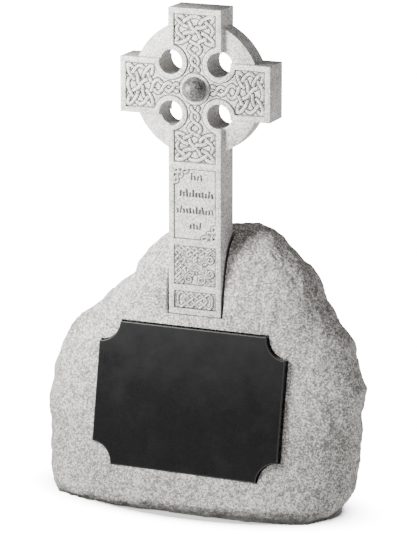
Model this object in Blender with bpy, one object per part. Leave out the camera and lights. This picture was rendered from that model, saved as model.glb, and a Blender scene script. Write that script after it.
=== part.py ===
"""Cross headstone: a ringed granite cross standing in a rock-faced granite boulder.

Four pieces: the boulder base, the carved cross, the polished boss at the middle of the cross
and the dark plaque let into the sloping front of the boulder.
All lengths are metres, except the carving patterns, which are written in millimetres.
The origin is on the flat underside, straight below the middle of the cross's thickness.
The front faces -Y and +Z is up.
"""
import bpy
import bmesh
import math
from collections import defaultdict
from mathutils import Vector, noise
from mathutils.geometry import delaunay_2d_cdt

MM = 0.001

# Cross
CROSS_THICK = 0.0775
BAR_HALF = 0.0675
SPAN_HALF = 0.1925
BOSS_HEIGHT = 1.028
FOOT_HEIGHT = 0.474
RING_RADIUS = 0.164
RING_INSET = 0.012
HOLE_OFFSET = 0.0617
HOLE_RADIUS = 0.0295
HOLE_BAND = 0.012
BORDER = 0.013
GROUND_DEPTH = 0.009
STROKE_DEPTH = 0.002
ARM_PANEL_END = 0.179
SHAFT_ARM_END = 0.180
# How deep the carving lies behind the front: crests, then edges or flat tops
BAND_DEPTH = 0.0006
ARM_CREST = 0.0012
ARM_EDGE = 0.0046
CHAIN_CREST = 0.0014
CHAIN_EDGE = 0.0040
RIB_DEPTH = 0.0016
TRIANGLE_DEPTH = 0.0026
CURL_DEPTH = 0.0030
# Parts of the shaft from the arm carving down to the foot: rib, text, rib, square, rib, chain, border
SHAFT_PARTS = (14, 174, 15, 98, 15, 44, 14)
SLOT_GAP_LEFT = 0.0025
SLOT_GAP_RIGHT = 0.004
FIT_GAP = 0.0003

# Boss
BOSS_RADIUS = 0.030
BOSS_RISE = 0.027
BOSS_SEAT_DEPTH = 0.006
BOSS_BAND = 0.008

# Plaque
PLAQUE_WIDTH = 0.486
PLAQUE_HEIGHT = 0.352
PLAQUE_SCOOP = 0.052
PLAQUE_THICK = 0.024
PLAQUE_CHAMFER = 0.0018
PLAQUE_CENTRE_Z = 0.271
PLAQUE_FACE_Y = -0.048
LEAN = math.radians(11.2)

# Boulder: for each height the left and right ends of its section
BOULDER_SIDES = (
    (0.000, -0.362, 0.338), (0.012, -0.364, 0.363), (0.035, -0.377, 0.383), (0.070, -0.388, 0.394),
    (0.110, -0.393, 0.397), (0.160, -0.400, 0.403), (0.215, -0.404, 0.404), (0.265, -0.396, 0.402),
    (0.310, -0.397, 0.414), (0.345, -0.381, 0.396), (0.375, -0.373, 0.382), (0.410, -0.353, 0.379),
    (0.445, -0.317, 0.354), (0.480, -0.273, 0.331), (0.515, -0.232, 0.304), (0.545, -0.184, 0.295),
    (0.575, -0.176, 0.272), (0.602, -0.157, 0.243), (0.624, -0.138, 0.224), (0.642, -0.120, 0.195),
    (0.659, -0.095, 0.182), (0.673, -0.068, 0.154), (0.682, -0.040, 0.124))
# Height and front, then height and back, from the plane of the cross's front
BOULDER_FRONT = (
    (0.000, -0.104), (0.012, -0.110), (0.030, -0.116), (0.045, -0.107), (0.075, -0.089),
    (0.120, -0.0735), (0.300, -0.0365), (0.474, -0.002), (0.530, 0.005), (0.577, 0.017),
    (0.616, 0.028), (0.635, 0.039), (0.650, 0.052), (0.664, 0.066), (0.675, 0.080), (0.682, 0.094))
BOULDER_BACK = (
    (0.000, 0.150), (0.020, 0.166), (0.060, 0.182), (0.150, 0.194), (0.300, 0.200), (0.450, 0.198),
    (0.550, 0.190), (0.610, 0.180), (0.650, 0.168), (0.672, 0.154), (0.682, 0.138))
FRONT_SQUARENESS = 4.0
BACK_SQUARENESS = 2.5
BOULDER_POINTS = 34

# Arm carving: strand width and gap, then centre lines as across and outward from the boss
STRAND = 9.4
STRAND_GAP = 0.8
RING_STRAND = ((7.6, 42.2), (9.4, 46.5), (6.5, 51.5), (0.0, 55.8), (-6.8, 60.5), (-9.6, 67.0),
               (-7.0, 74.0), (0.0, 80.8), (10.5, 87.0), (15.3, 95.0), (11.5, 103.0), (0.0, 108.8),
               (-10.0, 112.5), (-21.0, 117.5), (-29.0, 121.5), (-35.5, 126.0), (-43.0, 132.5),
               (-46.6, 141.0), (-43.0, 149.5), (-35.5, 156.0), (-29.0, 160.5), (-21.0, 165.5),
               (-11.0, 171.3), (0.0, 173.4))
# The second strand: its upper bar from the left corner, then its diagonal down to the centre
UPPER_BAR = ((-47.2, 167.0), (-42.5, 161.5), (-35.5, 156.0), (-28.0, 151.0), (-18.0, 147.8),
             (-8.5, 146.9), (0.0, 146.7))
DIAGONAL = ((40.0, 173.3), (31.0, 171.0), (21.0, 165.5), (13.5, 157.5), (8.5, 148.0), (0.0, 141.0))
CORNER_TOP = (47.0, 173.3)
MID_LINE = 141.0

# Shaft carving: widths and steps as parts of half the panel they lie in
CHAIN_STRAND = 0.29
CHAIN_MARGIN = (0.09, 0.036)
TRIANGLE_STRAND = 0.09
CURL_STRAND = 0.086
DIAGONAL_RIB = 0.065
ORNAMENT_STRAND = 0.066
ORNAMENT_STEP = (0.163, 0.128)
ORNAMENT_INSET = 0.413
# Rows of strokes: how far down the panel, then the left and right ends
STROKE_ROWS = ((0.132, -0.165, 0.312), (0.368, -0.68, 0.826), (0.603, -0.862, 0.88), (0.822, -0.257, 0.312))
STROKE_WIDTH = 0.059
STROKE_STEP = 0.15
STROKE_HEIGHTS = (0.086, 0.052, 0.052, 0.069, 0.052, 0.086, 0.052)

SURFACES = {
    'boulder_granite': ((0.50, 0.49, 0.475), 0.85),
    'cross_granite': ((0.60, 0.59, 0.575), 0.75),
    'boss_granite': ((0.20, 0.195, 0.19), 0.25),
    'plaque_granite': ((0.018, 0.018, 0.018), 0.08),
}


def clear_scene():
    for item in list(bpy.data.objects):
        bpy.data.objects.remove(item, do_unlink=True)


def surface(name):
    colour, roughness = SURFACES[name]
    made = bpy.data.materials.new(name)
    made.use_nodes = True
    shader = made.node_tree.nodes['Principled BSDF']
    shader.inputs['Base Color'].default_value = (*colour, 1.0)
    shader.inputs['Roughness'].default_value = roughness
    return made


def add_object(name, mesh, material):
    made = bpy.data.objects.new(name, mesh)
    bpy.context.scene.collection.objects.link(made)
    if material:
        mesh.materials.append(surface(material))
    return made


def add_solid(name, points, faces, material=None):
    mesh = bpy.data.meshes.new(name)
    mesh.from_pydata(points, [], faces)
    work = bmesh.new()
    work.from_mesh(mesh)
    bmesh.ops.recalc_face_normals(work, faces=work.faces)
    work.to_mesh(mesh)
    work.free()
    return add_object(name, mesh, material)


# Curves
def even_steps(points, step):
    """The same line with points an even distance apart, close to step."""
    lengths = [0.0]
    for a, b in zip(points, points[1:]):
        lengths.append(lengths[-1] + (b - a).length)
    count = max(1, round(lengths[-1] / step))
    made = []
    k = 0
    for n in range(count):
        target = lengths[-1] * n / count
        while lengths[k + 1] < target:
            k += 1
        made.append(points[k].lerp(points[k + 1], (target - lengths[k]) / (lengths[k + 1] - lengths[k])))
    made.append(points[-1])
    return made


def spline_run(points, step):
    """A smooth curve through the points, sampled about every step."""
    first = tuple(2 * a - b for a, b in zip(points[0], points[1]))
    last = tuple(2 * a - b for a, b in zip(points[-1], points[-2]))
    ends = [Vector(p) for p in (first, *points, last)]
    made = []
    for p0, p1, p2, p3 in zip(ends, ends[1:], ends[2:], ends[3:]):
        count = max(2, round((p2 - p1).length / step))
        for k in range(count):
            t = k / count
            made.append(0.5 * (2 * p1 + (p2 - p0) * t + (2 * p0 - 5 * p1 + 4 * p2 - p3) * t * t
                               + (3 * p1 - p0 - 3 * p2 + p3) * t ** 3))
    made.append(ends[-2])
    return made


def smooth_line(points, corners=(), closed=False, step=1.0):
    """A curve through the points that keeps the listed ones sharp; a closed one repeats no end."""
    points = [tuple(p) for p in points]
    if closed and not corners:
        wrapped = points[-3:] + points + points[:4]
        run = spline_run(wrapped, step / 2)
        home = [k for k, p in enumerate(run) if (p - Vector(points[0])).length < 1e-6]
        return even_steps(run[home[0]:home[-1] + 1], step)[:-1]
    if closed:
        turn = sorted(corners)[0]
        points = points[turn:] + points[:turn] + [points[turn]]
        corners = sorted((c - turn) for c in corners) + [len(points) - 1]
    stops = sorted({0, len(points) - 1, *corners})
    made = []
    for a, b in zip(stops, stops[1:]):
        made += even_steps(spline_run(points[a:b + 1], step / 2), step)[:-1]
    if not closed:
        made.append(Vector(points[-1]))
    return made


def segment_hit(a, b, c, d):
    r, s = b - a, d - c
    cross = r.x * s.y - r.y * s.x
    if abs(cross) < 1e-9:
        return None
    q = c - a
    t = (q.x * s.y - q.y * s.x) / cross
    u = (q.x * r.y - q.y * r.x) / cross
    if 0 <= t < 1 and 0 <= u < 1:
        return t, u
    return None


def find_crossings(lines, closed):
    """Each crossing as two (line, place along it) pairs, its point and the two directions."""
    cells = defaultdict(list)
    segments = []
    for n, line in enumerate(lines):
        count = len(line) if closed[n] else len(line) - 1
        for k in range(count):
            a, b = line[k], line[(k + 1) % len(line)]
            segments.append((n, k, a, b))
            for cx in range(int(min(a.x, b.x) // 6), int(max(a.x, b.x) // 6) + 1):
                for cy in range(int(min(a.y, b.y) // 6), int(max(a.y, b.y) // 6) + 1):
                    cells[cx, cy].append(len(segments) - 1)
    found = {}
    for group in cells.values():
        for i, p in enumerate(group):
            for q in group[i + 1:]:
                n, k, a, b = segments[p]
                m, j, c, d = segments[q]
                near = n == m and min(abs(k - j), len(lines[n]) - abs(k - j)) < 3
                hit = None if near else segment_hit(a, b, c, d)
                if hit:
                    found[n, k, m, j] = ((n, k + hit[0]), (m, j + hit[1]), a.lerp(b, hit[0]),
                                         (b - a).normalized(), (d - c).normalized())
    return list(found.values())


def choose_over(lines, crossings, flips):
    """Over and under turn about along each strand; the point of each flip swaps its crossing."""
    passes = defaultdict(list)
    for number, (one, two, *_rest) in enumerate(crossings):
        passes[one[0]].append((one[1], number, 0))
        passes[two[0]].append((two[1], number, 1))
    links = defaultdict(list)
    for line, rows in passes.items():
        rows.sort()
        for (_, n, side), (_, m, other) in zip(rows, rows[1:]):
            links[n].append((m, side == other))
            links[m].append((n, side == other))
    first_over = {}
    for number in range(len(crossings)):
        if number in first_over:
            continue
        first_over[number] = True
        queue = [number]
        while queue:
            n = queue.pop()
            for m, same_side in links[n]:
                if m not in first_over:
                    first_over[m] = (not first_over[n]) if same_side else first_over[n]
                    queue.append(m)
    for point in flips:
        near = min(range(len(crossings)), key=lambda k: (crossings[k][2] - Vector(point)).length)
        first_over[near] = not first_over[near]
    return first_over


def thin_out(points, tolerance):
    if len(points) < 3:
        return points
    a, b = points[0], points[-1]
    axis = (b - a)
    length = axis.length or 1e-9
    worst, where = 0.0, 0
    for k in range(1, len(points) - 1):
        d = points[k] - a
        off = abs(axis.x * d.y - axis.y * d.x) / length if length > 1e-6 else d.length
        if off > worst:
            worst, where = off, k
    if worst < tolerance:
        return [a, b]
    return thin_out(points[:where + 1], tolerance)[:-1] + thin_out(points[where:], tolerance)


def point_at(line, place, closed):
    k = int(math.floor(place))
    if closed:
        return line[k % len(line)].lerp(line[(k + 1) % len(line)], place - k)
    k = max(0, min(k, len(line) - 2))
    return line[k].lerp(line[k + 1], place - k)


def strand_strips(paths, width, gap, flips=(), tolerance=0.4, swap=False):
    """Strips of (left, middle, right) points; a strand is cut away where it goes under another."""
    lines = [smooth_line(p['points'], p.get('corners', ()), p.get('closed', False)) for p in paths]
    closed = [p.get('closed', False) for p in paths]
    crossings = find_crossings(lines, closed)
    over = choose_over(lines, crossings, flips)
    cuts = defaultdict(list)
    for number, (one, two, point, dir_one, dir_two) in enumerate(crossings):
        angle = max(0.35, abs(dir_one.x * dir_two.y - dir_one.y * dir_two.x))
        first = over[number] != swap
        under, top_dir = (two, dir_two) if first else (one, dir_one)
        over_dir = dir_one if first else dir_two
        reach = (width / 2 + gap) / angle
        cuts[under[0]].append((under[1], reach, point, over_dir))
    strips = []
    for n, line in enumerate(lines):
        count = len(line)
        marks = sorted(cuts[n])
        spans = []
        if closed[n] and marks:
            for (s, r, p, d), (s2, r2, p2, d2) in zip(marks, marks[1:] + [marks[0]]):
                end = s2 if s2 > s else s2 + count
                spans.append((s + r, end - r2, (p, d), (p2, d2)))
        elif closed[n]:
            strips.append(make_strip(line, None, None, width, gap, tolerance, True))
            continue
        else:
            start, tail = 0.0, None
            for s, r, p, d in marks:
                spans.append((start, s - r, tail, (p, d)))
                start, tail = s + r, (p, d)
            spans.append((start, count - 1.0, tail, None))
        for s, e, head, tail in spans:
            if e - s < 0.8:
                continue
            inner = list(range(math.floor(s) + 1, math.ceil(e)))
            chosen = [point_at(line, s, closed[n])] + [line[k % count] for k in inner] \
                + [point_at(line, e, closed[n])]
            chosen = [p for p, q in zip(chosen, chosen[1:]) if (q - p).length > 0.15] + [chosen[-1]]
            strip = make_strip(chosen, head, tail, width, gap, tolerance, False)
            if strip:
                strips.append(strip)
    return strips


def tidy_bends(line, rows, width, closed):
    """Draws the inner side of each tight bend together, so that the strip never folds over."""
    count = len(line)
    last = count if closed else count - 1
    for k in range(0 if closed else 1, last):
        d1 = (line[k] - line[k - 1]).normalized()
        d2 = (line[(k + 1) % count] - line[k]).normalized()
        if d1.dot(d2) > 0.8:
            continue
        inner = 0 if d1.x * d2.y - d1.y * d2.x > 0 else 2
        reach = width / 2 * math.sqrt(max(0.0, (1 - d1.dot(d2)) / (1 + d1.dot(d2)))) + 0.2
        for sense in (-1, 1):
            j, gone = k, 0.0
            while True:
                m = j + sense
                if not closed and not 0 <= m < count:
                    break
                gone += (line[m % count] - line[j % count]).length
                if gone > reach or abs(m - k) > count // 2:
                    break
                rows[m % count][inner] = rows[k][inner].copy()
                j = m
    for _ in range(4):
        for k in range(last):
            a, b = rows[k], rows[(k + 1) % count]
            along = (b[1] - a[1]).normalized()
            for side in (0, 2):
                if (b[side] - a[side]).dot(along) < 0.02 and (b[side] - a[side]).length > 1e-6:
                    middle = (a[side] + b[side]) / 2
                    a[side], b[side] = middle, middle.copy()


def make_strip(points, head, tail, width, gap, tolerance, closed):
    if closed:
        half = len(points) // 2
        line = thin_out(points[:half + 1], tolerance)[:-1]
        line += thin_out(points[half:] + [points[0]], tolerance)[:-1]
    else:
        line = thin_out(points, tolerance)
    rows = []
    count = len(line)
    for k, p in enumerate(line):
        before = line[(k - 1) % count] if closed or k else None
        after = line[(k + 1) % count] if closed or k < count - 1 else None
        d1 = (p - before).normalized() if before is not None else (after - p).normalized()
        d2 = (after - p).normalized() if after is not None else d1
        n1, n2 = Vector((-d1.y, d1.x)), Vector((-d2.y, d2.x))
        side = (n1 + n2).normalized()
        side *= width / 2 / max(0.5, side.dot(n1))
        rows.append([p + side, p.copy(), p - side])
    tidy_bends(line, rows, width, closed)
    for row, other, cut in ((rows[0], rows[1], head), (rows[-1], rows[-2], tail)):
        if cut is None or closed:
            continue
        centre, direction = cut
        normal = Vector((-direction.y, direction.x))
        if normal.dot(row[1] - centre) < 0:
            normal = -normal
        along = (row[1] - other[1]).normalized()
        slope = along.dot(normal)
        if abs(slope) < 0.2:
            continue
        for k in range(3):
            move = (width / 2 + gap - (row[k] - centre).dot(normal)) / slope
            limit = 0.9 * (row[1] - other[1]).length
            row[k] += along * max(-limit, min(limit * 2, move))
    if sum((a[1] - b[1]).length for a, b in zip(rows, rows[1:])) < 1.5:
        return None
    return {'rows': rows, 'closed': closed}


# Patterns
def mirrored(points):
    return [(-x, y) for x, y in points]


def flipped(points):
    return [(x, 2 * MID_LINE - y) for x, y in points]


def arm_paths():
    half = list(RING_STRAND)
    ring = {'points': half + mirrored(half[:-1])[::-1]}
    upper = list(UPPER_BAR)
    upper_full = upper + mirrored(upper[:-1])[::-1]
    down_left = list(DIAGONAL)
    corner = [CORNER_TOP]
    lower_corner = flipped(corner)
    cross_down = down_left + [tuple(p) for p in flipped(mirrored(down_left[:-1]))[::-1]]
    lower_full = flipped(upper_full)
    back_up = flipped(cross_down)
    points = mirrored(corner) + upper_full + corner + cross_down + mirrored(lower_corner) + lower_full \
        + lower_corner + back_up
    first = 0
    second = 1 + len(upper_full)
    third = second + 1 + len(cross_down)
    fourth = third + 1 + len(lower_full)
    loop = {'points': points, 'corners': (first, second, third, fourth), 'closed': True}
    return [ring, loop]


def chain_paths(dx, dy):
    loop = [(-4, 1), (-4, 1.2), (-3.4, 2), (-3, 2), (-2, 1), (-1, 0), (0, -1), (1, -2), (2, -1),
            (2.75, 0), (2, 1), (1, 2), (0, 1), (-1, 0), (-2, -1), (-3, -2), (-3.4, -2), (-4, -1.2),
            (-4, -1)]
    first = [(x * dx, y * dy) for x, y in loop]
    return [{'points': first, 'closed': True}, {'points': mirrored(first), 'closed': True}]


TRIANGLE_LOOP = ((0, 0), (1, 1), (2, 2), (2.5, 2.6), (2.3, 3.15), (1.7, 3.4), (1, 3), (0, 2), (-1, 1),
                 (-2, 0), (-3, 1), (-3.75, 1.45), (-4.4, 0.9), (-4.5, 0.0), (-3.8, 0.05), (-3, 1),
                 (-2, 2), (-1, 3), (0, 4), (0.5, 4.7), (0, 5.5), (-0.5, 4.7), (0, 4), (1, 3), (2, 2),
                 (3, 1), (3.8, 0.05), (4.5, 0.0), (4.4, 0.9), (3.75, 1.45), (3, 1), (2, 0), (1, 1),
                 (0, 2), (-1, 3), (-1.7, 3.4), (-2.3, 3.15), (-2.5, 2.6), (-2, 2), (-1, 1))
SMALL_LOOP = ((0, 0), (1, 1), (1.6, 1.45), (2.2, 1.2), (2.75, 0.5), (2.5, -0.15), (1.7, -0.05), (1, 1),
              (0, 2), (-0.8, 2.8), (0, 3.6), (0.8, 2.8), (0, 2), (-1, 1), (-1.7, -0.05),
              (-2.5, -0.15), (-2.75, 0.5), (-2.2, 1.2), (-1.6, 1.45), (-1, 1))


def triangle_path(loop, step_along, step_up, base, along, up):
    """Lattice places turned into points: base is the middle of the triangle's base."""
    return [{'points': [(base[0] + i * step_along * along[0] + j * step_up * up[0],
                         base[1] + i * step_along * along[1] + j * step_up * up[1])
                        for i, j in loop], 'closed': True}]


def curl(centre, start, turns, outer, inner, sense):
    count = max(6, round(abs(turns) * 14))
    made = []
    for k in range(count + 1):
        angle = start + sense * turns * 2 * math.pi * k / count
        r = outer + (inner - outer) * k / count
        made.append((centre[0] + r * math.cos(angle), centre[1] + r * math.sin(angle)))
    return made


def curl_paths(base, along, up, scale):
    """A pair of scrolls and two small corner curls over a triangle's base."""
    shapes = []
    for side in (-1, 1):
        stem = [(side * 3.6, 33.0), (side * 5.0, 27.0)]
        scroll = curl((side * 16.5, 14.5), math.radians(135 if side > 0 else 45), 1.3, 11.5, 4.2, -side)
        shapes.append(stem + scroll)
        shapes.append(curl((side * 35.0, 7.4), math.radians(80 if side > 0 else 100), 0.85, 5.0, 3.2, -side))
    return [{'points': [(base[0] + (a * along[0] + b * up[0]) * scale,
                         base[1] + (a * along[1] + b * up[1]) * scale) for a, b in shape]}
            for shape in shapes]


def arc(centre, radius, start, end, count):
    return [(centre[0] + radius * math.cos(start + (end - start) * k / count),
             centre[1] + radius * math.sin(start + (end - start) * k / count)) for k in range(count + 1)]


# Cross outline, in millimetres from the boss centre
BAR = BAR_HALF / MM
SPAN = SPAN_HALF / MM
DISC = RING_RADIUS / MM
OFFSET = HOLE_OFFSET / MM
HOLE = HOLE_RADIUS / MM
BAND = HOLE + HOLE_BAND / MM
FOOT = (FOOT_HEIGHT - BOSS_HEIGHT) / MM
PANEL = BAR - BORDER / MM
DEEP = GROUND_DEPTH / MM


def turn_quarter(points, quarter):
    for _ in range(quarter):
        points = [(-y, x) for x, y in points]
    return points


def cross_outline():
    """The cross with its four bitten corners, and one point where the ring meets each side."""
    meet = math.sqrt(DISC * DISC - BAR * BAR)
    low = math.acos((BAR - OFFSET) / HOLE)
    corner = [(BAR, SPAN), (BAR, meet)]
    bite = arc((OFFSET, OFFSET), HOLE, low, 2 * math.pi + math.pi / 2 - low, 18)
    made = []
    for quarter in range(4):
        points = corner + bite + [(meet, BAR), (SPAN, BAR)]
        made += turn_quarter(points, (4 - quarter) % 4)
    return [(x, FOOT if abs(y + SPAN) < 1e-6 else y) for x, y in made]


def ring_outlines():
    """The four ring plates between the arms, each with its hole's outer part."""
    meet = math.sqrt(DISC * DISC - BAR * BAR)
    low = math.acos((BAR - OFFSET) / HOLE)
    rim = math.asin(BAR / DISC)
    outer = arc((0, 0), DISC, math.pi / 2 - rim, rim, 14)
    inner = arc((OFFSET, OFFSET), HOLE, math.pi / 2 - low, low, 7)
    shape = outer + inner
    return [turn_quarter(shape, quarter) for quarter in range(4)]


def field_outline():
    """The sunk cross-shaped field that the four arm patterns lie in."""
    low = math.acos((PANEL - OFFSET) / BAND)
    end = ARM_PANEL_END / MM
    bite = arc((OFFSET, OFFSET), BAND, low, 2 * math.pi + math.pi / 2 - low, 15)
    made = []
    for quarter in range(4):
        reach = SHAFT_ARM_END / MM if quarter in (1, 2) else end
        before = SHAFT_ARM_END / MM if quarter == 2 else end
        points = [(PANEL, end)] + bite + [(end, PANEL)]
        made += turn_quarter(points, (4 - quarter) % 4)
    return [(x, -SHAFT_ARM_END / MM if abs(y + end) < 1e-6 else y) for x, y in made]


class Plan:
    """Flat regions of the carved front; each holds its depth behind the front plane."""

    def __init__(self):
        self.points = []
        self.edges = []
        self.faces = []
        self.kinds = []
        self.crests = set()

    def area(self, points, rank, depth, crest=None):
        start = len(self.points)
        self.points += [Vector(p) for p in points]
        order = list(range(start, len(self.points)))
        total = sum(a.x * b.y - b.x * a.y for a, b in
                    zip(self.points[start:], self.points[start + 1:] + [self.points[start]]))
        self.faces.append(order if total > 0 else order[::-1])
        self.kinds.append((rank, depth, crest))
        return order

    def strip(self, strip, rank, depth, crest):
        rows = strip['rows']
        left = [r[0] for r in rows]
        right = [r[2] for r in rows]
        middle = [r[1] for r in rows]
        if strip['closed']:
            return
        outline = [middle[0]] + left + [middle[-1]] + right[::-1]
        if crest is None:
            self.area(left + right[::-1], rank, depth)
            return
        order = self.area(outline, rank, depth, crest)
        ids = [order[0]]
        for p in middle[1:-1]:
            self.points.append(p)
            ids.append(len(self.points) - 1)
        ids.append(order[1 + len(left)])
        self.crests.update(ids)
        self.edges += list(zip(ids, ids[1:]))

    def solve(self):
        """Triangles as three (point key, depth) pairs."""
        made = delaunay_2d_cdt(self.points, self.edges, self.faces, 1, 1e-5)
        points, _edges, faces, from_points, _from_edges, from_faces = made
        crest_points = {k for k, olds in enumerate(from_points) if any(o in self.crests for o in olds)}
        keys = [(round(p.x, 4), round(p.y, 4)) for p in points]
        result = []
        for face, owners in zip(faces, from_faces):
            if not owners:
                continue
            rank, depth, crest = max(self.kinds[o] for o in owners)
            if depth is None:
                continue
            result.append([(keys[k], crest if crest is not None and k in crest_points else depth)
                           for k in face])
        return result


def chain_between(columns, key, low, high):
    low, high = min(low, high), max(low, high)
    return [(key, d) for d in sorted(columns[key]) if low - 1e-6 <= d <= high + 1e-6]


def wall(columns, a, b, depths_a, depths_b):
    left = chain_between(columns, a, *depths_a)
    right = chain_between(columns, b, *depths_b)
    made = []
    i = j = 0
    while i < len(left) - 1 or j < len(right) - 1:
        take_left = j == len(right) - 1 or (i < len(left) - 1 and left[i + 1][1] <= right[j + 1][1])
        if take_left:
            made.append((left[i], right[j], left[i + 1]))
            i += 1
        else:
            made.append((left[i], right[j], right[j + 1]))
            j += 1
    return made


def shell(front, back):
    """Closed faces between a carved front and a back that share one outline."""
    columns = defaultdict(set)
    for triangle in front + back:
        for key, depth in triangle:
            columns[key].add(depth)
    made = [tuple(t) for t in front + back]
    borders = []
    for side in (front, back):
        seen = defaultdict(list)
        for triangle in side:
            for (a, da), (b, db) in zip(triangle, triangle[1:] + triangle[:1]):
                seen[min(a, b), max(a, b)].append((da, db) if a < b else (db, da))
        border = {}
        for (a, b), depths in seen.items():
            if len(depths) == 2 and depths[0] != depths[1]:
                made += wall(columns, a, b, (depths[0][0], depths[1][0]), (depths[0][1], depths[1][1]))
            elif len(depths) == 1:
                border[a, b] = depths[0]
        borders.append(border)
    if set(borders[0]) != set(borders[1]):
        raise RuntimeError('the front and back outlines of the cross differ')
    for (a, b), near in borders[0].items():
        far = borders[1][a, b]
        made += wall(columns, a, b, (near[0], far[0]), (near[1], far[1]))
    return made


def add_strips(plan, strips, crest, edge, place):
    for strip in strips:
        rows = [[Vector(place(p)) for p in row] for row in strip['rows']]
        plan.strip({'rows': rows, 'closed': strip['closed']}, 50, edge, crest)


def same_place(point):
    return point


def shaft_panel(number):
    """The low and high edge of a panel on the shaft."""
    top = -SHAFT_ARM_END / MM
    part = (FOOT - top) / sum(SHAFT_PARTS)
    return top + part * sum(SHAFT_PARTS[:number + 1]), top + part * sum(SHAFT_PARTS[:number])


def square_panel(plan):
    low, high = shaft_panel(3)
    middle = (low + high) / 2
    half_x, half_y = PANEL, (high - low) / 2
    unit = min(half_x, half_y)
    gap = 0.014 * unit
    length = math.hypot(half_x, half_y)
    ux, uy = half_x / length, half_y / length
    reach = length - 0.306 * unit
    for sign in (1, -1):
        spans = ((-reach, reach),) if sign > 0 else ((-reach, -0.07 * unit), (0.07 * unit, reach))
        for s, e in spans:
            rows = []
            for t in (s, e):
                p = Vector((t * ux, middle + sign * t * uy))
                n = Vector((-sign * uy, ux)) * DIAGONAL_RIB * unit / 2
                rows.append([p + n, p, p - n])
            plan.strip({'rows': rows, 'closed': False}, 50, RIB_DEPTH / MM, None)
    inset = 0.086 * unit
    left = triangle_path(TRIANGLE_LOOP, half_y * 0.158, half_x * 0.134, (inset - half_x, middle),
                         (0, 1), (1, 0))
    top = triangle_path(TRIANGLE_LOOP, half_x * 0.160, half_y * 0.128, (0, high - inset), (1, 0), (0, -1))
    for paths in (left, top):
        strips = strand_strips(paths, TRIANGLE_STRAND * unit, gap, tolerance=0.017 * unit)
        add_strips(plan, strips, None, TRIANGLE_DEPTH / MM, same_place)
    bottom = curl_paths((0, low + 0.02 * unit), (1, 0), (0, 1), 0.02 * unit)
    right = curl_paths((half_x - 0.02 * unit, middle), (0, 1), (-1, 0), 0.02 * unit)
    for paths in (bottom, right):
        strips = strand_strips(paths, CURL_STRAND * unit, gap, tolerance=0.017 * unit)
        add_strips(plan, strips, None, CURL_DEPTH / MM, same_place)


def text_panel(plan):
    low, high = shaft_panel(1)
    root = math.sqrt(0.5)
    inset = ORNAMENT_INSET * PANEL
    steps = [part * PANEL for part in ORNAMENT_STEP]
    for corner, turn in (((-PANEL, high), 1), ((PANEL, low), -1)):
        base = (corner[0] + turn * inset, corner[1] - turn * inset)
        paths = triangle_path(SMALL_LOOP, *steps, base, (root, root), (-turn * root, turn * root))
        strips = strand_strips(paths, ORNAMENT_STRAND * PANEL, 0.7, tolerance=0.85)
        add_strips(plan, strips, None, TRIANGLE_DEPTH / MM, same_place)
    tall = high - low
    step = STROKE_STEP * PANEL
    half = STROKE_WIDTH * PANEL / 2
    for number, (down, start, end) in enumerate(STROKE_ROWS):
        x0, x1 = start * PANEL, end * PANEL
        count = int((x1 - x0) // step) + 1
        bottom = high - (down + 0.029) * tall
        for k in range(count):
            x = (x0 + x1 - (count - 1) * step) / 2 + k * step
            top = bottom + STROKE_HEIGHTS[(k + 3 * number) % len(STROKE_HEIGHTS)] * tall
            plan.area([(x - half, bottom), (x + half, bottom), (x + half, top), (x - half, top)], 45,
                      DEEP + STROKE_DEPTH / MM)


def bottom_panel(plan):
    low, high = shaft_panel(5)
    half = (high - low) / 2
    width = CHAIN_STRAND * half
    dx = (PANEL * (1 - CHAIN_MARGIN[0]) - width / 2) / 4
    dy = (half * (1 - CHAIN_MARGIN[1]) - width / 2) / 2
    chain = strand_strips(chain_paths(dx, dy), width, 0.036 * half, tolerance=0.039 * half)
    add_strips(plan, chain, CHAIN_CREST / MM, CHAIN_EDGE / MM, lambda p: (p.x, p.y + (low + high) / 2))


def build_cross(name):
    plan = Plan()
    plan.area(cross_outline(), 20, 0.0)
    for shape in ring_outlines():
        plan.area(shape, 10, RING_INSET / MM)
    plan.area(field_outline(), 30, DEEP)
    seat = BOSS_RADIUS / MM + FIT_GAP / MM
    plan.area(arc((0, 0), BOSS_RADIUS / MM + BOSS_BAND / MM, 0, 2 * math.pi, 32)[:-1], 40,
              BAND_DEPTH / MM)
    plan.area(arc((0, 0), seat, 0, 2 * math.pi, 28)[:-1], 41, BOSS_SEAT_DEPTH / MM)
    for low, high in (shaft_panel(1), shaft_panel(3), shaft_panel(5)):
        plan.area([(-PANEL, low), (PANEL, low), (PANEL, high), (-PANEL, high)], 30, DEEP)
    strips = strand_strips(arm_paths(), STRAND, STRAND_GAP, flips=((0.0, MID_LINE),), tolerance=0.95)
    for quarter in range(4):
        add_strips(plan, strips, ARM_CREST / MM, ARM_EDGE / MM,
                   lambda p, q=quarter: turn_quarter([(p.x, p.y)], q)[0])
    text_panel(plan)
    square_panel(plan)
    bottom_panel(plan)
    rear = Plan()
    rear.area(cross_outline(), 20, CROSS_THICK / MM)
    for shape in ring_outlines():
        rear.area(shape, 10, (CROSS_THICK - RING_INSET) / MM)
    triangles = shell(plan.solve(), rear.solve())
    index = {}
    points = []
    faces = []
    for triangle in triangles:
        face = []
        for (x, z), depth in triangle:
            key = (x, z, round(depth, 4))
            if key not in index:
                index[key] = len(points)
                points.append((x * MM, depth * MM - CROSS_THICK / 2, z * MM + BOSS_HEIGHT))
            face.append(index[key])
        faces.append(face)
    return add_solid(name, points, faces, 'cross_granite')


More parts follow.
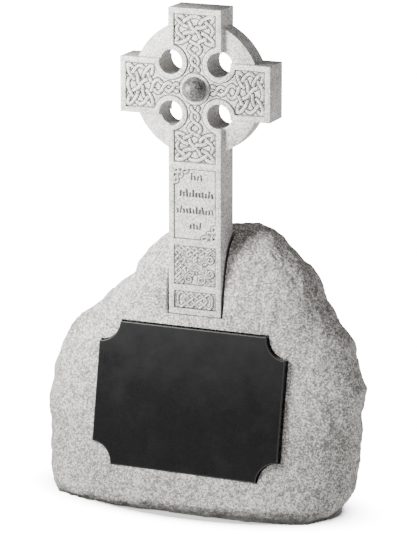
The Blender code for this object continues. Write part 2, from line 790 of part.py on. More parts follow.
def build_boss(name):
    """A dome with a short round root that drops into the seat."""
    count, rows = 26, 5
    front = -CROSS_THICK / 2
    profile = [(BOSS_RADIUS, front + BOSS_SEAT_DEPTH - FIT_GAP)]
    for k in range(rows):
        angle = k / rows * math.pi / 2
        profile.append((BOSS_RADIUS * math.cos(angle), front - BOSS_RISE * math.sin(angle)))
    points = []
    for radius, y in profile:
        for k in range(count):
            angle = 2 * math.pi * k / count
            points.append((radius * math.cos(angle), y, BOSS_HEIGHT + radius * math.sin(angle)))
    tip = len(points)
    points.append((0.0, front - BOSS_RISE, BOSS_HEIGHT))
    faces = [list(range(count))]
    for row in range(len(profile) - 1):
        for k in range(count):
            a, b = row * count + k, row * count + (k + 1) % count
            faces.append([a, b, b + count, a + count])
    last = (len(profile) - 1) * count
    faces += [[last + k, last + (k + 1) % count, tip] for k in range(count)]
    made = add_solid(name, points, faces, 'boss_granite')
    for face in made.data.polygons:
        face.use_smooth = len(face.vertices) < 5
    return made


def table(rows, z, column=1):
    """A smooth value between the rows of a table at height z."""
    if z <= rows[0][0]:
        return rows[0][column]
    for k in range(len(rows) - 1):
        if z <= rows[k + 1][0]:
            t = (z - rows[k][0]) / (rows[k + 1][0] - rows[k][0])
            return rows[k][column] + (rows[k + 1][column] - rows[k][column]) * t
    return rows[-1][column]


def rock(point):
    """How far the split stone stands out at a point, in metres."""
    p = Vector(point)
    broad = noise.noise(p * 5.3 + Vector((3.1, 7.7, 1.9)))
    chips = noise.cell(Vector((p.x * 13 + 2.0, p.y * 13, p.z * 15))) - 0.5
    fine = noise.noise(p * 21.0)
    return 0.006 * broad + 0.0028 * chips + 0.003 * fine


def boulder_point(z, angle):
    left, right = table(BOULDER_SIDES, z, 1), table(BOULDER_SIDES, z, 2)
    front, back = table(BOULDER_FRONT, z), table(BOULDER_BACK, z)
    cx, cy = (left + right) / 2, (front + back) / 2
    a, b = (right - left) / 2, (back - front) / 2
    c, s = math.cos(angle), math.sin(angle)
    power = BACK_SQUARENESS if s > 0 else FRONT_SQUARENESS
    x = cx + a * math.copysign(abs(c) ** (2 / power), c)
    y = cy + b * math.copysign(abs(s) ** (2 / power), s)
    return x, y - CROSS_THICK / 2, (cx, cy - CROSS_THICK / 2)


def build_boulder(name):
    heights = [row[0] for row in BOULDER_SIDES]
    points = []
    for level, z in enumerate(heights):
        for k in range(BOULDER_POINTS):
            x, y, middle = boulder_point(z, 2 * math.pi * (k + 0.5 * (level % 2)) / BOULDER_POINTS)
            out = Vector((x - middle[0], y - middle[1], 0.0)).normalized()
            calm = 0.35 if out.y < -0.8 and abs(x) < 0.3 and z < 0.5 else 1.0
            lift = rock((x, y, z)) * calm if level else 0.0
            up = 0.0 if level == 0 else 0.35 * lift
            points.append((x + out.x * lift, y + out.y * lift, z + up))
    n = BOULDER_POINTS
    faces = [list(range(n))]
    for level in range(len(heights) - 1):
        for k in range(n):
            a, b = level * n + k, level * n + (k + 1) % n
            c, d = a + n, b + n
            if level % 2 == 0:
                faces += [[a, b, c], [b, d, c]]
            else:
                faces += [[a, b, d], [a, d, c]]
    last = (len(heights) - 1) * n
    cap = [Vector(points[last + k]) for k in range(n)]
    centre = sum(cap, Vector()) / n
    inner = []
    for p in cap:
        inner.append(len(points))
        q = centre.lerp(p, 0.5)
        points.append((q.x, q.y, q.z + 0.005))
    tip = len(points)
    points.append((centre.x, centre.y, centre.z + 0.006))
    for k in range(n):
        a, b = last + k, last + (k + 1) % n
        faces += [[a, b, inner[(k + 1) % n]], [a, inner[(k + 1) % n], inner[k]],
                  [inner[k], inner[(k + 1) % n], tip]]
    return add_solid(name, points, faces, 'boulder_granite')


def plaque_outline(inset):
    """The plaque's edge with a hollow quarter round at each corner."""
    w, h = PLAQUE_WIDTH / 2 - inset, PLAQUE_HEIGHT / 2 - inset
    cw, ch = PLAQUE_WIDTH / 2, PLAQUE_HEIGHT / 2
    r = PLAQUE_SCOOP + inset
    tip = math.asin(min(1.0, inset / r)) if inset > 0 else math.asin(max(-1.0, inset / r))
    made = []
    for sx, sy in ((1, 1), (-1, 1), (-1, -1), (1, -1)):
        run = arc((cw, ch), r, -math.pi / 2 - tip, -math.pi + tip, 10)
        run = [(sx * x, sy * y) for x, y in run]
        made += run if sx * sy > 0 else run[::-1]
    return made


def plaque_place(a, b, out):
    """A point on the plaque: across, up its face, and out from its face."""
    up = Vector((0.0, math.sin(LEAN), math.cos(LEAN)))
    normal = Vector((0.0, -math.cos(LEAN), math.sin(LEAN)))
    centre = Vector((0.0, PLAQUE_FACE_Y - CROSS_THICK / 2, PLAQUE_CENTRE_Z))
    return tuple(centre + Vector((a, 0.0, 0.0)) + up * b + normal * out)


def plaque_body(name, layers, material=None):
    points = []
    for inset, out in layers:
        points += [plaque_place(a, b, out) for a, b in plaque_outline(inset)]
    n = len(points) // len(layers)
    faces = [list(range(n)), list(range((len(layers) - 1) * n, len(layers) * n))]
    for row in range(len(layers) - 1):
        for k in range(n):
            a, b = row * n + k, row * n + (k + 1) % n
            faces.append([a, b, b + n, a + n])
    return add_solid(name, points, faces, material)


def build_plaque(name):
    return plaque_body(name, ((0.0, -PLAQUE_THICK), (0.0, -PLAQUE_CHAMFER), (PLAQUE_CHAMFER, 0.0)),
                       'plaque_granite')


def cut_away(body, cutter):
    cutter.hide_render = True
    cutter.display_type = 'WIRE'
    step = body.modifiers.new(cutter.name, 'BOOLEAN')
    step.operation = 'DIFFERENCE'
    step.solver = 'EXACT'
    step.object = cutter


def build_slot(name):
    """The notch the cross stands in, open to the front and the top."""
    x0, x1 = -BAR_HALF - SLOT_GAP_LEFT, BAR_HALF + SLOT_GAP_RIGHT
    y0, y1 = -0.35, CROSS_THICK / 2 + FIT_GAP
    z0, z1 = FOOT_HEIGHT - FIT_GAP, 0.95
    points = [(x, y, z) for z in (z0, z1) for y in (y0, y1) for x in (x0, x1)]
    faces = [[0, 1, 3, 2], [4, 5, 7, 6], [0, 1, 5, 4], [2, 3, 7, 6], [0, 2, 6, 4], [1, 3, 7, 5]]
    return add_solid(name, points, faces)


def main():
    clear_scene()
    boulder = build_boulder('boulder_base')
    build_cross('celtic_cross')
    build_boss('centre_boss')
    build_plaque('inscription_plaque')
    cut_away(boulder, build_slot('slot_cutter'))
    seat = plaque_body('seat_cutter', ((-FIT_GAP, -PLAQUE_THICK - FIT_GAP), (-FIT_GAP, 0.06)))
    cut_away(boulder, seat)


main()
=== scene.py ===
"""Cross headstone, dressed: a carved granite cross in a rock-faced boulder with a dark plaque.

Lengths are metres in the part's frame, except the carving, which is written in millimetres as
across and up from the middle of the boss, with depth behind the cross's front.
"""
import math
from collections import defaultdict
from contextlib import contextmanager

import bmesh
import bpy
import numpy as np
from mathutils import Matrix, Vector, noise
from mathutils.geometry import delaunay_2d_cdt


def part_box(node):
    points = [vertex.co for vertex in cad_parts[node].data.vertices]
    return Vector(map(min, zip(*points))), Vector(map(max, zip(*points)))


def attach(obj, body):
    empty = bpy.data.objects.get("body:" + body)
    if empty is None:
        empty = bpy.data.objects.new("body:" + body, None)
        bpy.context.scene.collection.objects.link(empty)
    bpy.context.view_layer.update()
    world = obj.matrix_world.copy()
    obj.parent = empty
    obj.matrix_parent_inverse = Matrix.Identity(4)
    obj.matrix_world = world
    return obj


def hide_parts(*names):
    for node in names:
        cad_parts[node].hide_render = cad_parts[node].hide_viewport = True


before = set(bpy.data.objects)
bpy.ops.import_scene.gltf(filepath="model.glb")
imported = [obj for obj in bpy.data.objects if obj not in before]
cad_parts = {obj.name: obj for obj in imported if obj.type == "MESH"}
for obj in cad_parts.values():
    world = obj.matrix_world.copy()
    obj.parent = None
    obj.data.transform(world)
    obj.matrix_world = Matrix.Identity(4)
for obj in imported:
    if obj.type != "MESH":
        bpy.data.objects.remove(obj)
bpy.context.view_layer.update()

bl_info = {
    "name": "Cross headstone",
    "version": (1, 0, 0),
    "blender": (4, 5, 0),
    "location": "3D View > Sidebar > Headstone",
    "description": "Builds a ringed granite cross in a boulder base with a dark plaque",
    "category": "Add Mesh",
}

MM = 0.001
BODY = "root"
CROSS_LOW, CROSS_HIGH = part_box("celtic_cross")
BOSS_LOW, BOSS_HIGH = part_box("centre_boss")
BOULDER_LOW, BOULDER_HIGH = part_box("boulder_base")
PLAQUE_LOW, PLAQUE_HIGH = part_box("inscription_plaque")
THICK = CROSS_HIGH.y - CROSS_LOW.y
BOSS_Z = (BOSS_LOW.z + BOSS_HIGH.z) / 2
CLEARANCE = 0.0003  # between stones, and inside the boulder's box

# Cross, in millimetres from the middle of the boss
BAR = 67.5  # half the width of an arm
SPAN = (CROSS_HIGH.x - CROSS_LOW.x) / 2 / MM
FOOT = (CROSS_LOW.z - BOSS_Z) / MM
DISC = 164.0
RING_INSET = 12.0
HOLE_OFFSET = 61.7
HOLE = 29.5
BAND = HOLE + 12.0
PANEL = BAR - 13.0
ARM_END = 179.0
SHAFT_END = 180.0
SHAFT_PARTS = (14, 174, 15, 98, 15, 44, 14)  # borders and panels by turns, downwards
BOSS_BAND = 38.0

# Depths of the carving behind the cross's front, in millimetres
BODY_RECESS = 9.8
SLAB_FLOOR = 12.0
ARM_GROUND = 7.0
SHAFT_GROUND = 5.8
ARM_POCKET = 3.3
SHAFT_POCKET = 2.8
CHAIN_POCKET = 3.5
TEXT_LEVEL = 1.9
STROKE_DEPTH = 4.2
ARM_CREST = 0.7
SHAFT_CREST = 0.6
ORNAMENT_CREST = 0.5
BAND_CREST = 0.4
CUT = 1.8  # width of the cut round each strand
SKIRT = 2.5  # how far a carved slab runs on under its border
LINE_STEP = 0.7  # between points of a strand's middle line
ROUNDNESS = 3.6  # of a strand's section: 2 is half round, more is flatter on top

# Arm carving
STRAND = 9.3
RING_STRAND = ((7.6, 42.2), (9.4, 46.5), (6.5, 51.5), (0.0, 55.8), (-6.8, 60.5), (-9.6, 67.0),
               (-7.0, 74.0), (0.0, 80.8), (10.5, 87.0), (15.3, 95.0), (11.5, 103.0), (0.0, 108.8),
               (-10.0, 112.5), (-21.0, 117.5), (-29.0, 121.5), (-35.5, 126.0), (-43.0, 132.5),
               (-46.6, 141.0), (-43.0, 149.5), (-35.5, 156.0), (-29.0, 160.5), (-21.0, 165.5),
               (-11.0, 171.3), (0.0, 173.4))
UPPER_BAR = ((-47.2, 167.0), (-42.5, 161.5), (-35.5, 156.0), (-28.0, 151.0), (-18.0, 147.8),
             (-8.5, 146.9), (0.0, 146.7))
DIAGONAL = ((40.0, 173.3), (31.0, 171.0), (21.0, 165.5), (13.5, 157.5), (8.5, 148.0), (0.0, 141.0))
CORNER_TOP = (47.0, 173.3)
MID_LINE = 141.0

# Shaft carving, as parts of half the panel
CHAIN_STRAND = 0.25
CHAIN_MARGIN = (0.125, 0.11)
TRIANGLE_STRAND = 0.115
CURL_STRAND = 0.10
DIAGONAL_RIB = 0.12
ORNAMENT_STRAND = 0.105
ORNAMENT_STEP = (0.158, 0.132)
ORNAMENT_INSET = 0.375
STROKE_ROWS = ((0.132, -0.165, 0.312), (0.368, -0.68, 0.826), (0.603, -0.862, 0.88),
               (0.822, -0.257, 0.312))
STROKE_WIDTH = 0.078
STROKE_STEP = 0.15
STROKE_HEIGHTS = (0.104, 0.066, 0.066, 0.084, 0.066, 0.104, 0.066)
TRIANGLE_LOOP = ((0, 0), (1, 1), (2, 2), (2.5, 2.6), (2.3, 3.15), (1.7, 3.4), (1, 3), (0, 2), (-1, 1),
                 (-2, 0), (-3, 1), (-3.75, 1.45), (-4.4, 0.9), (-4.5, 0.0), (-3.8, 0.05), (-3, 1),
                 (-2, 2), (-1, 3), (0, 4), (0.5, 4.7), (0, 5.5), (-0.5, 4.7), (0, 4), (1, 3), (2, 2),
                 (3, 1), (3.8, 0.05), (4.5, 0.0), (4.4, 0.9), (3.75, 1.45), (3, 1), (2, 0), (1, 1),
                 (0, 2), (-1, 3), (-1.7, 3.4), (-2.3, 3.15), (-2.5, 2.6), (-2, 2), (-1, 1))
SMALL_LOOP = ((0, 0), (1, 1), (1.6, 1.45), (2.2, 1.2), (2.75, 0.5), (2.5, -0.15), (1.7, -0.05), (1, 1),
              (0, 2), (-0.8, 2.8), (0, 3.6), (0.8, 2.8), (0, 2), (-1, 1), (-1.7, -0.05),
              (-2.5, -0.15), (-2.75, 0.5), (-2.2, 1.2), (-1.6, 1.45), (-1, 1))
CHAIN_LOOP = ((-4, 1), (-4, 1.2), (-3.4, 2), (-3, 2), (-2, 1), (-1, 0), (0, -1), (1, -2), (2, -1),
              (2.75, 0), (2, 1), (1, 2), (0, 1), (-1, 0), (-2, -1), (-3, -2), (-3.4, -2), (-4, -1.2),
              (-4, -1))

# Boulder: height, then the left and right ends of its section
BOULDER_SIDES = (
    (0.000, -0.362, 0.338), (0.012, -0.364, 0.363), (0.035, -0.377, 0.383), (0.070, -0.388, 0.394),
    (0.110, -0.393, 0.397), (0.160, -0.400, 0.403), (0.215, -0.404, 0.404), (0.265, -0.396, 0.402),
    (0.310, -0.397, 0.414), (0.345, -0.381, 0.396), (0.375, -0.373, 0.382), (0.410, -0.353, 0.379),
    (0.445, -0.317, 0.354), (0.480, -0.273, 0.331), (0.515, -0.232, 0.304), (0.545, -0.184, 0.295),
    (0.575, -0.176, 0.272), (0.602, -0.157, 0.243), (0.624, -0.138, 0.224), (0.642, -0.120, 0.195),
    (0.659, -0.095, 0.182), (0.673, -0.068, 0.154), (0.682, -0.040, 0.124))
BOULDER_FRONT = (
    (0.000, -0.104), (0.012, -0.110), (0.030, -0.116), (0.045, -0.107), (0.075, -0.089),
    (0.120, -0.0735), (0.300, -0.0365), (0.474, -0.002), (0.530, 0.005), (0.577, 0.017),
    (0.616, 0.028), (0.635, 0.039), (0.650, 0.052), (0.664, 0.066), (0.675, 0.080), (0.682, 0.094))
BOULDER_BACK = (
    (0.000, 0.150), (0.020, 0.166), (0.060, 0.182), (0.150, 0.194), (0.300, 0.200), (0.450, 0.198),
    (0.550, 0.190), (0.610, 0.180), (0.650, 0.168), (0.672, 0.154), (0.682, 0.138))
LEFT_SQUARENESS = 4.0
RIGHT_SQUARENESS = 3.0
BACK_SQUARENESS = 2.5
CAP_RISE = 0.006
CAP_RINGS = 14

# Split rock: how many to a metre, then how high or deep in metres
SWELL = (5.3, 0.006)
ROCK_SEED = 4
SWELL_SHIFT = Vector((3.1, 7.7, 1.9))
LUMPS = (21.0, 0.0035)
LARGE_SCOOPS = (15.0, 0.0055, 2.0)  # and how narrow
SMALL_SCOOPS = (38.0, 0.0022, 2.2)
SCOOP_WARP = (26.0, 0.3)
LARGE_PITS = (90.0, 1.0)
SMALL_PITS = (190.0, 0.7)
FOOT_EDGE = (17.0, 0.010)
FOOT_LUMPS = (40.0, 0.006)
FOOT_LAYERS = (170.0, 0.0026)
FOOT_CUT = 0.011
FOOT_REACH = (0.011, 0.018)  # the cut's height at the left end, and how much more at the right
SHOULDER = (-0.10, 0.05, 0.013)  # place, width and height of the left shoulder

# Slot and seat in the boulder, in metres
SLOT_TOP = 0.95
SLOT_FRONT = -0.35
SLOT_WALLS = (0.0733, 0.0737)  # from the middle: stone nearer than this is inside the slot
SEAT_GAP = 0.0022
SEAT_SHIFT = (0.0016, 0.0, 0.0018)
SEAT_FRONT = 0.06

# Camera and main light
CAMERA_PLACE = (2.7182, -6.43165, 2.3899)
CAMERA_TURN = (math.radians(75.45), 0.0, math.radians(22.76))
KEY_DISTANCE = 1.35
KEY_HEIGHT = 1.25
KEY_AIM = Vector((0.0, 0.0, 1.55))
KEY_SIZE = 0.7

# Floor: half its visible width and depth, and where in parts of those it fades out
FLOOR_SPREAD = (0.40, 0.19)
FLOOR_FADE = (0.9, 1.3)


# Small tools

def link(name, mesh, material=None):
    made = bpy.data.objects.new(name, mesh)
    bpy.context.scene.collection.objects.link(made)
    if material:
        mesh.materials.append(material)
    return made


@contextmanager
def reworked(mesh):
    """The mesh opened for editing, and written back at the end."""
    work = bmesh.new()
    work.from_mesh(mesh)
    yield work
    work.to_mesh(mesh)
    work.free()


def mesh_from(name, points, faces):
    mesh = bpy.data.meshes.new(name)
    mesh.from_pydata([tuple(p) for p in points], [], [tuple(f) for f in faces])
    with reworked(mesh) as work:
        bmesh.ops.recalc_face_normals(work, faces=work.faces)
    return mesh


def tube_faces(rows, around):
    """Faces between rows of points that each run once round."""
    return [(row * around + k, row * around + (k + 1) % around, (row + 1) * around + (k + 1) % around,
             (row + 1) * around + k) for row in range(rows - 1) for k in range(around)]


def tip_faces(first, around, tip):
    return [(first + k, first + (k + 1) % around, tip) for k in range(around)]


def neighbours(grid, **edge):
    """The grid moved by one place each of the four ways."""
    wide = np.pad(grid, 1, **edge)
    return wide[:-2, 1:-1], wide[2:, 1:-1], wide[1:-1, :-2], wide[1:-1, 2:]


def smooth_shade(mesh, degrees):
    mesh.polygons.foreach_set("use_smooth", [True] * len(mesh.polygons))
    mesh.set_sharp_from_angle(angle=math.radians(degrees))


def settle(piece):
    """Applies the piece's modifiers to its mesh."""
    graph = bpy.context.evaluated_depsgraph_get()
    mesh = bpy.data.meshes.new_from_object(piece.evaluated_get(graph))
    piece.modifiers.clear()
    piece.data = mesh


def cut_away(body, cutter):
    step = body.modifiers.new(cutter.name, "BOOLEAN")
    step.operation = "DIFFERENCE"
    step.solver = "EXACT"
    step.object = cutter
    settle(body)
    bpy.data.objects.remove(cutter, do_unlink=True)


def hand_over(piece, slot, *nodes):
    """Puts the piece on the part's body and in place of its nodes; slot is not used."""
    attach(piece, BODY)
    if nodes:
        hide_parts(*nodes)


# Lines

def even_steps(points, step):
    """The same line with points an even distance apart, close to step."""
    lengths = [0.0]
    for a, b in zip(points, points[1:]):
        lengths.append(lengths[-1] + (b - a).length)
    count = max(1, round(lengths[-1] / step))
    made = []
    k = 0
    for n in range(count):
        target = lengths[-1] * n / count
        while lengths[k + 1] < target:
            k += 1
        made.append(points[k].lerp(points[k + 1], (target - lengths[k]) / (lengths[k + 1] - lengths[k])))
    made.append(points[-1])
    return made


def spline_run(points, step):
    """A smooth curve through the points, sampled about every step."""
    first = tuple(2 * a - b for a, b in zip(points[0], points[1]))
    last = tuple(2 * a - b for a, b in zip(points[-1], points[-2]))
    ends = [Vector(p) for p in (first, *points, last)]
    made = []
    for p0, p1, p2, p3 in zip(ends, ends[1:], ends[2:], ends[3:]):
        count = max(2, round((p2 - p1).length / step))
        for k in range(count):
            t = k / count
            made.append(0.5 * (2 * p1 + (p2 - p0) * t + (2 * p0 - 5 * p1 + 4 * p2 - p3) * t * t
                               + (3 * p1 - p0 - 3 * p2 + p3) * t ** 3))
    made.append(ends[-2])
    return made


def smooth_line(points, corners=(), closed=False):
    """A curve through the points that keeps the listed ones sharp, and where those now are."""
    points = [tuple(p) for p in points]
    if closed and not corners:
        wrapped = points[-3:] + points + points[:4]
        run = spline_run(wrapped, LINE_STEP / 2)
        home = [k for k, p in enumerate(run) if (p - Vector(points[0])).length < 1e-6]
        return even_steps(run[home[0]:home[-1] + 1], LINE_STEP)[:-1], []
    if closed:
        turn = sorted(corners)[0]
        points = points[turn:] + points[:turn] + [points[turn]]
        corners = sorted((c - turn) for c in corners) + [len(points) - 1]
    stops = sorted({0, len(points) - 1, *corners})
    made, sharp = [], []
    for a, b in zip(stops, stops[1:]):
        if closed or a in corners:
            sharp.append(len(made))
        made += even_steps(spline_run(points[a:b + 1], LINE_STEP / 2), LINE_STEP)[:-1]
    if not closed:
        made.append(Vector(points[-1]))
    return made, sharp


def segment_hit(a, b, c, d):
    """How far along each of two straight pieces they cross, or None."""
    r, s = b - a, d - c
    cross = r.x * s.y - r.y * s.x
    if abs(cross) < 1e-9:
        return None
    q = c - a
    t = (q.x * s.y - q.y * s.x) / cross
    u = (q.x * r.y - q.y * r.x) / cross
    if 0 <= t < 1 and 0 <= u < 1:
        return t, u
    return None


def find_crossings(lines, closed):
    """Each crossing as two (line, place along it) pairs, its point and the two directions."""
    cell = 6
    cells = defaultdict(list)
    segments = []
    for n, line in enumerate(lines):
        count = len(line) if closed[n] else len(line) - 1
        for k in range(count):
            a, b = line[k], line[(k + 1) % len(line)]
            segments.append((n, k, a, b))
            for cx in range(int(min(a.x, b.x) // cell), int(max(a.x, b.x) // cell) + 1):
                for cy in range(int(min(a.y, b.y) // cell), int(max(a.y, b.y) // cell) + 1):
                    cells[cx, cy].append(len(segments) - 1)
    found = {}
    for group in cells.values():
        for i, p in enumerate(group):
            for q in group[i + 1:]:
                n, k, a, b = segments[p]
                m, j, c, d = segments[q]
                near = n == m and min(abs(k - j), len(lines[n]) - abs(k - j)) < 4
                hit = None if near else segment_hit(a, b, c, d)
                if hit:
                    found[n, k, m, j] = ((n, k + hit[0]), (m, j + hit[1]), a.lerp(b, hit[0]),
                                         (b - a).normalized(), (d - c).normalized())
    return list(found.values())


def choose_over(crossings, flips):
    """Over and under turn about along each strand; the point of each flip swaps its crossing."""
    passes = defaultdict(list)
    for number, (one, two, *_rest) in enumerate(crossings):
        passes[one[0]].append((one[1], number, 0))
        passes[two[0]].append((two[1], number, 1))
    links = defaultdict(list)
    for rows in passes.values():
        rows.sort()
        for (_, n, side), (_, m, other) in zip(rows, rows[1:]):
            links[n].append((m, side == other))
            links[m].append((n, side == other))
    first_over = {}
    for number in range(len(crossings)):
        if number in first_over:
            continue
        first_over[number] = True
        queue = [number]
        while queue:
            n = queue.pop()
            for m, same_side in links[n]:
                if m not in first_over:
                    first_over[m] = (not first_over[n]) if same_side else first_over[n]
                    queue.append(m)
    for point in flips:
        near = min(range(len(crossings)), key=lambda k: (crossings[k][2] - Vector(point)).length)
        first_over[near] = not first_over[near]
    return first_over


def mirrored(points):
    return [(-x, y) for x, y in points]


def flipped(points):
    return [(x, 2 * MID_LINE - y) for x, y in points]


def arc(centre, radius, start, end, count):
    return [(centre[0] + radius * math.cos(start + (end - start) * k / count),
             centre[1] + radius * math.sin(start + (end - start) * k / count)) for k in range(count + 1)]


def turn_quarter(points, quarter):
    for _ in range(quarter):
        points = [(-y, x) for x, y in points]
    return points


# Patterns

def arm_paths():
    """One arm's two strands: a ring that runs round the small loops, and a long closed knot."""
    half = list(RING_STRAND)
    ring = {"points": half + mirrored(half[:-1])[::-1]}
    upper = list(UPPER_BAR) + mirrored(UPPER_BAR[:-1])[::-1]
    corner = [CORNER_TOP]
    down = list(DIAGONAL) + flipped(mirrored(DIAGONAL[:-1]))[::-1]
    points = mirrored(corner) + upper + corner + down + mirrored(flipped(corner)) + flipped(upper) \
        + flipped(corner) + flipped(down)
    second = 1 + len(upper)
    third = second + 1 + len(down)
    loop = {"points": points, "corners": (0, second, third, third + 1 + len(upper)), "closed": True}
    return [ring, loop]


def triangle_path(loop, step_along, step_up, base, along, up):
    """Lattice places turned into points: base is the middle of the triangle's base."""
    return [{"points": [(base[0] + i * step_along * along[0] + j * step_up * up[0],
                         base[1] + i * step_along * along[1] + j * step_up * up[1])
                        for i, j in loop], "closed": True}]


def curl(centre, start, turns, outer, inner, sense):
    """A scroll's line, from its outer end inwards."""
    count = max(6, round(abs(turns) * 14))
    made = []
    for k in range(count + 1):
        angle = start + sense * turns * 2 * math.pi * k / count
        r = outer + (inner - outer) * k / count
        made.append((centre[0] + r * math.cos(angle), centre[1] + r * math.sin(angle)))
    return made


def curl_paths(base, along, up, scale):
    """A pair of scrolls and two small corner curls over a triangle's base."""
    shapes = []
    for side in (-1, 1):
        stem = [(side * 3.6, 33.0), (side * 5.0, 27.0)]
        scroll = curl((side * 16.5, 14.5), math.radians(135 if side > 0 else 45), 1.3, 11.5, 4.2, -side)
        shapes.append(stem + scroll)
        shapes.append(curl((side * 35.0, 7.4), math.radians(80 if side > 0 else 100), 0.85, 5.0, 3.2, -side))
    return [{"points": [(base[0] + (a * along[0] + b * up[0]) * scale,
                         base[1] + (a * along[1] + b * up[1]) * scale) for a, b in shape]}
            for shape in shapes]


def shaft_panel(number):
    """The low and high edge of a panel on the shaft."""
    part = (FOOT + SHAFT_END) / sum(SHAFT_PARTS)
    return [-SHAFT_END + part * sum(SHAFT_PARTS[:k]) for k in (number + 1, number)]


# Carved relief

def under_dip(gap):
    """The share of its height that a strand loses near the edge of the one it goes under."""
    slow = np.clip(1 - gap / 6.0, 0, 1)
    groove = np.clip(1 - (gap - 0.5) / 1.4, 0, 1)
    return 0.28 * slow * slow * (3 - 2 * slow) + 0.66 * groove


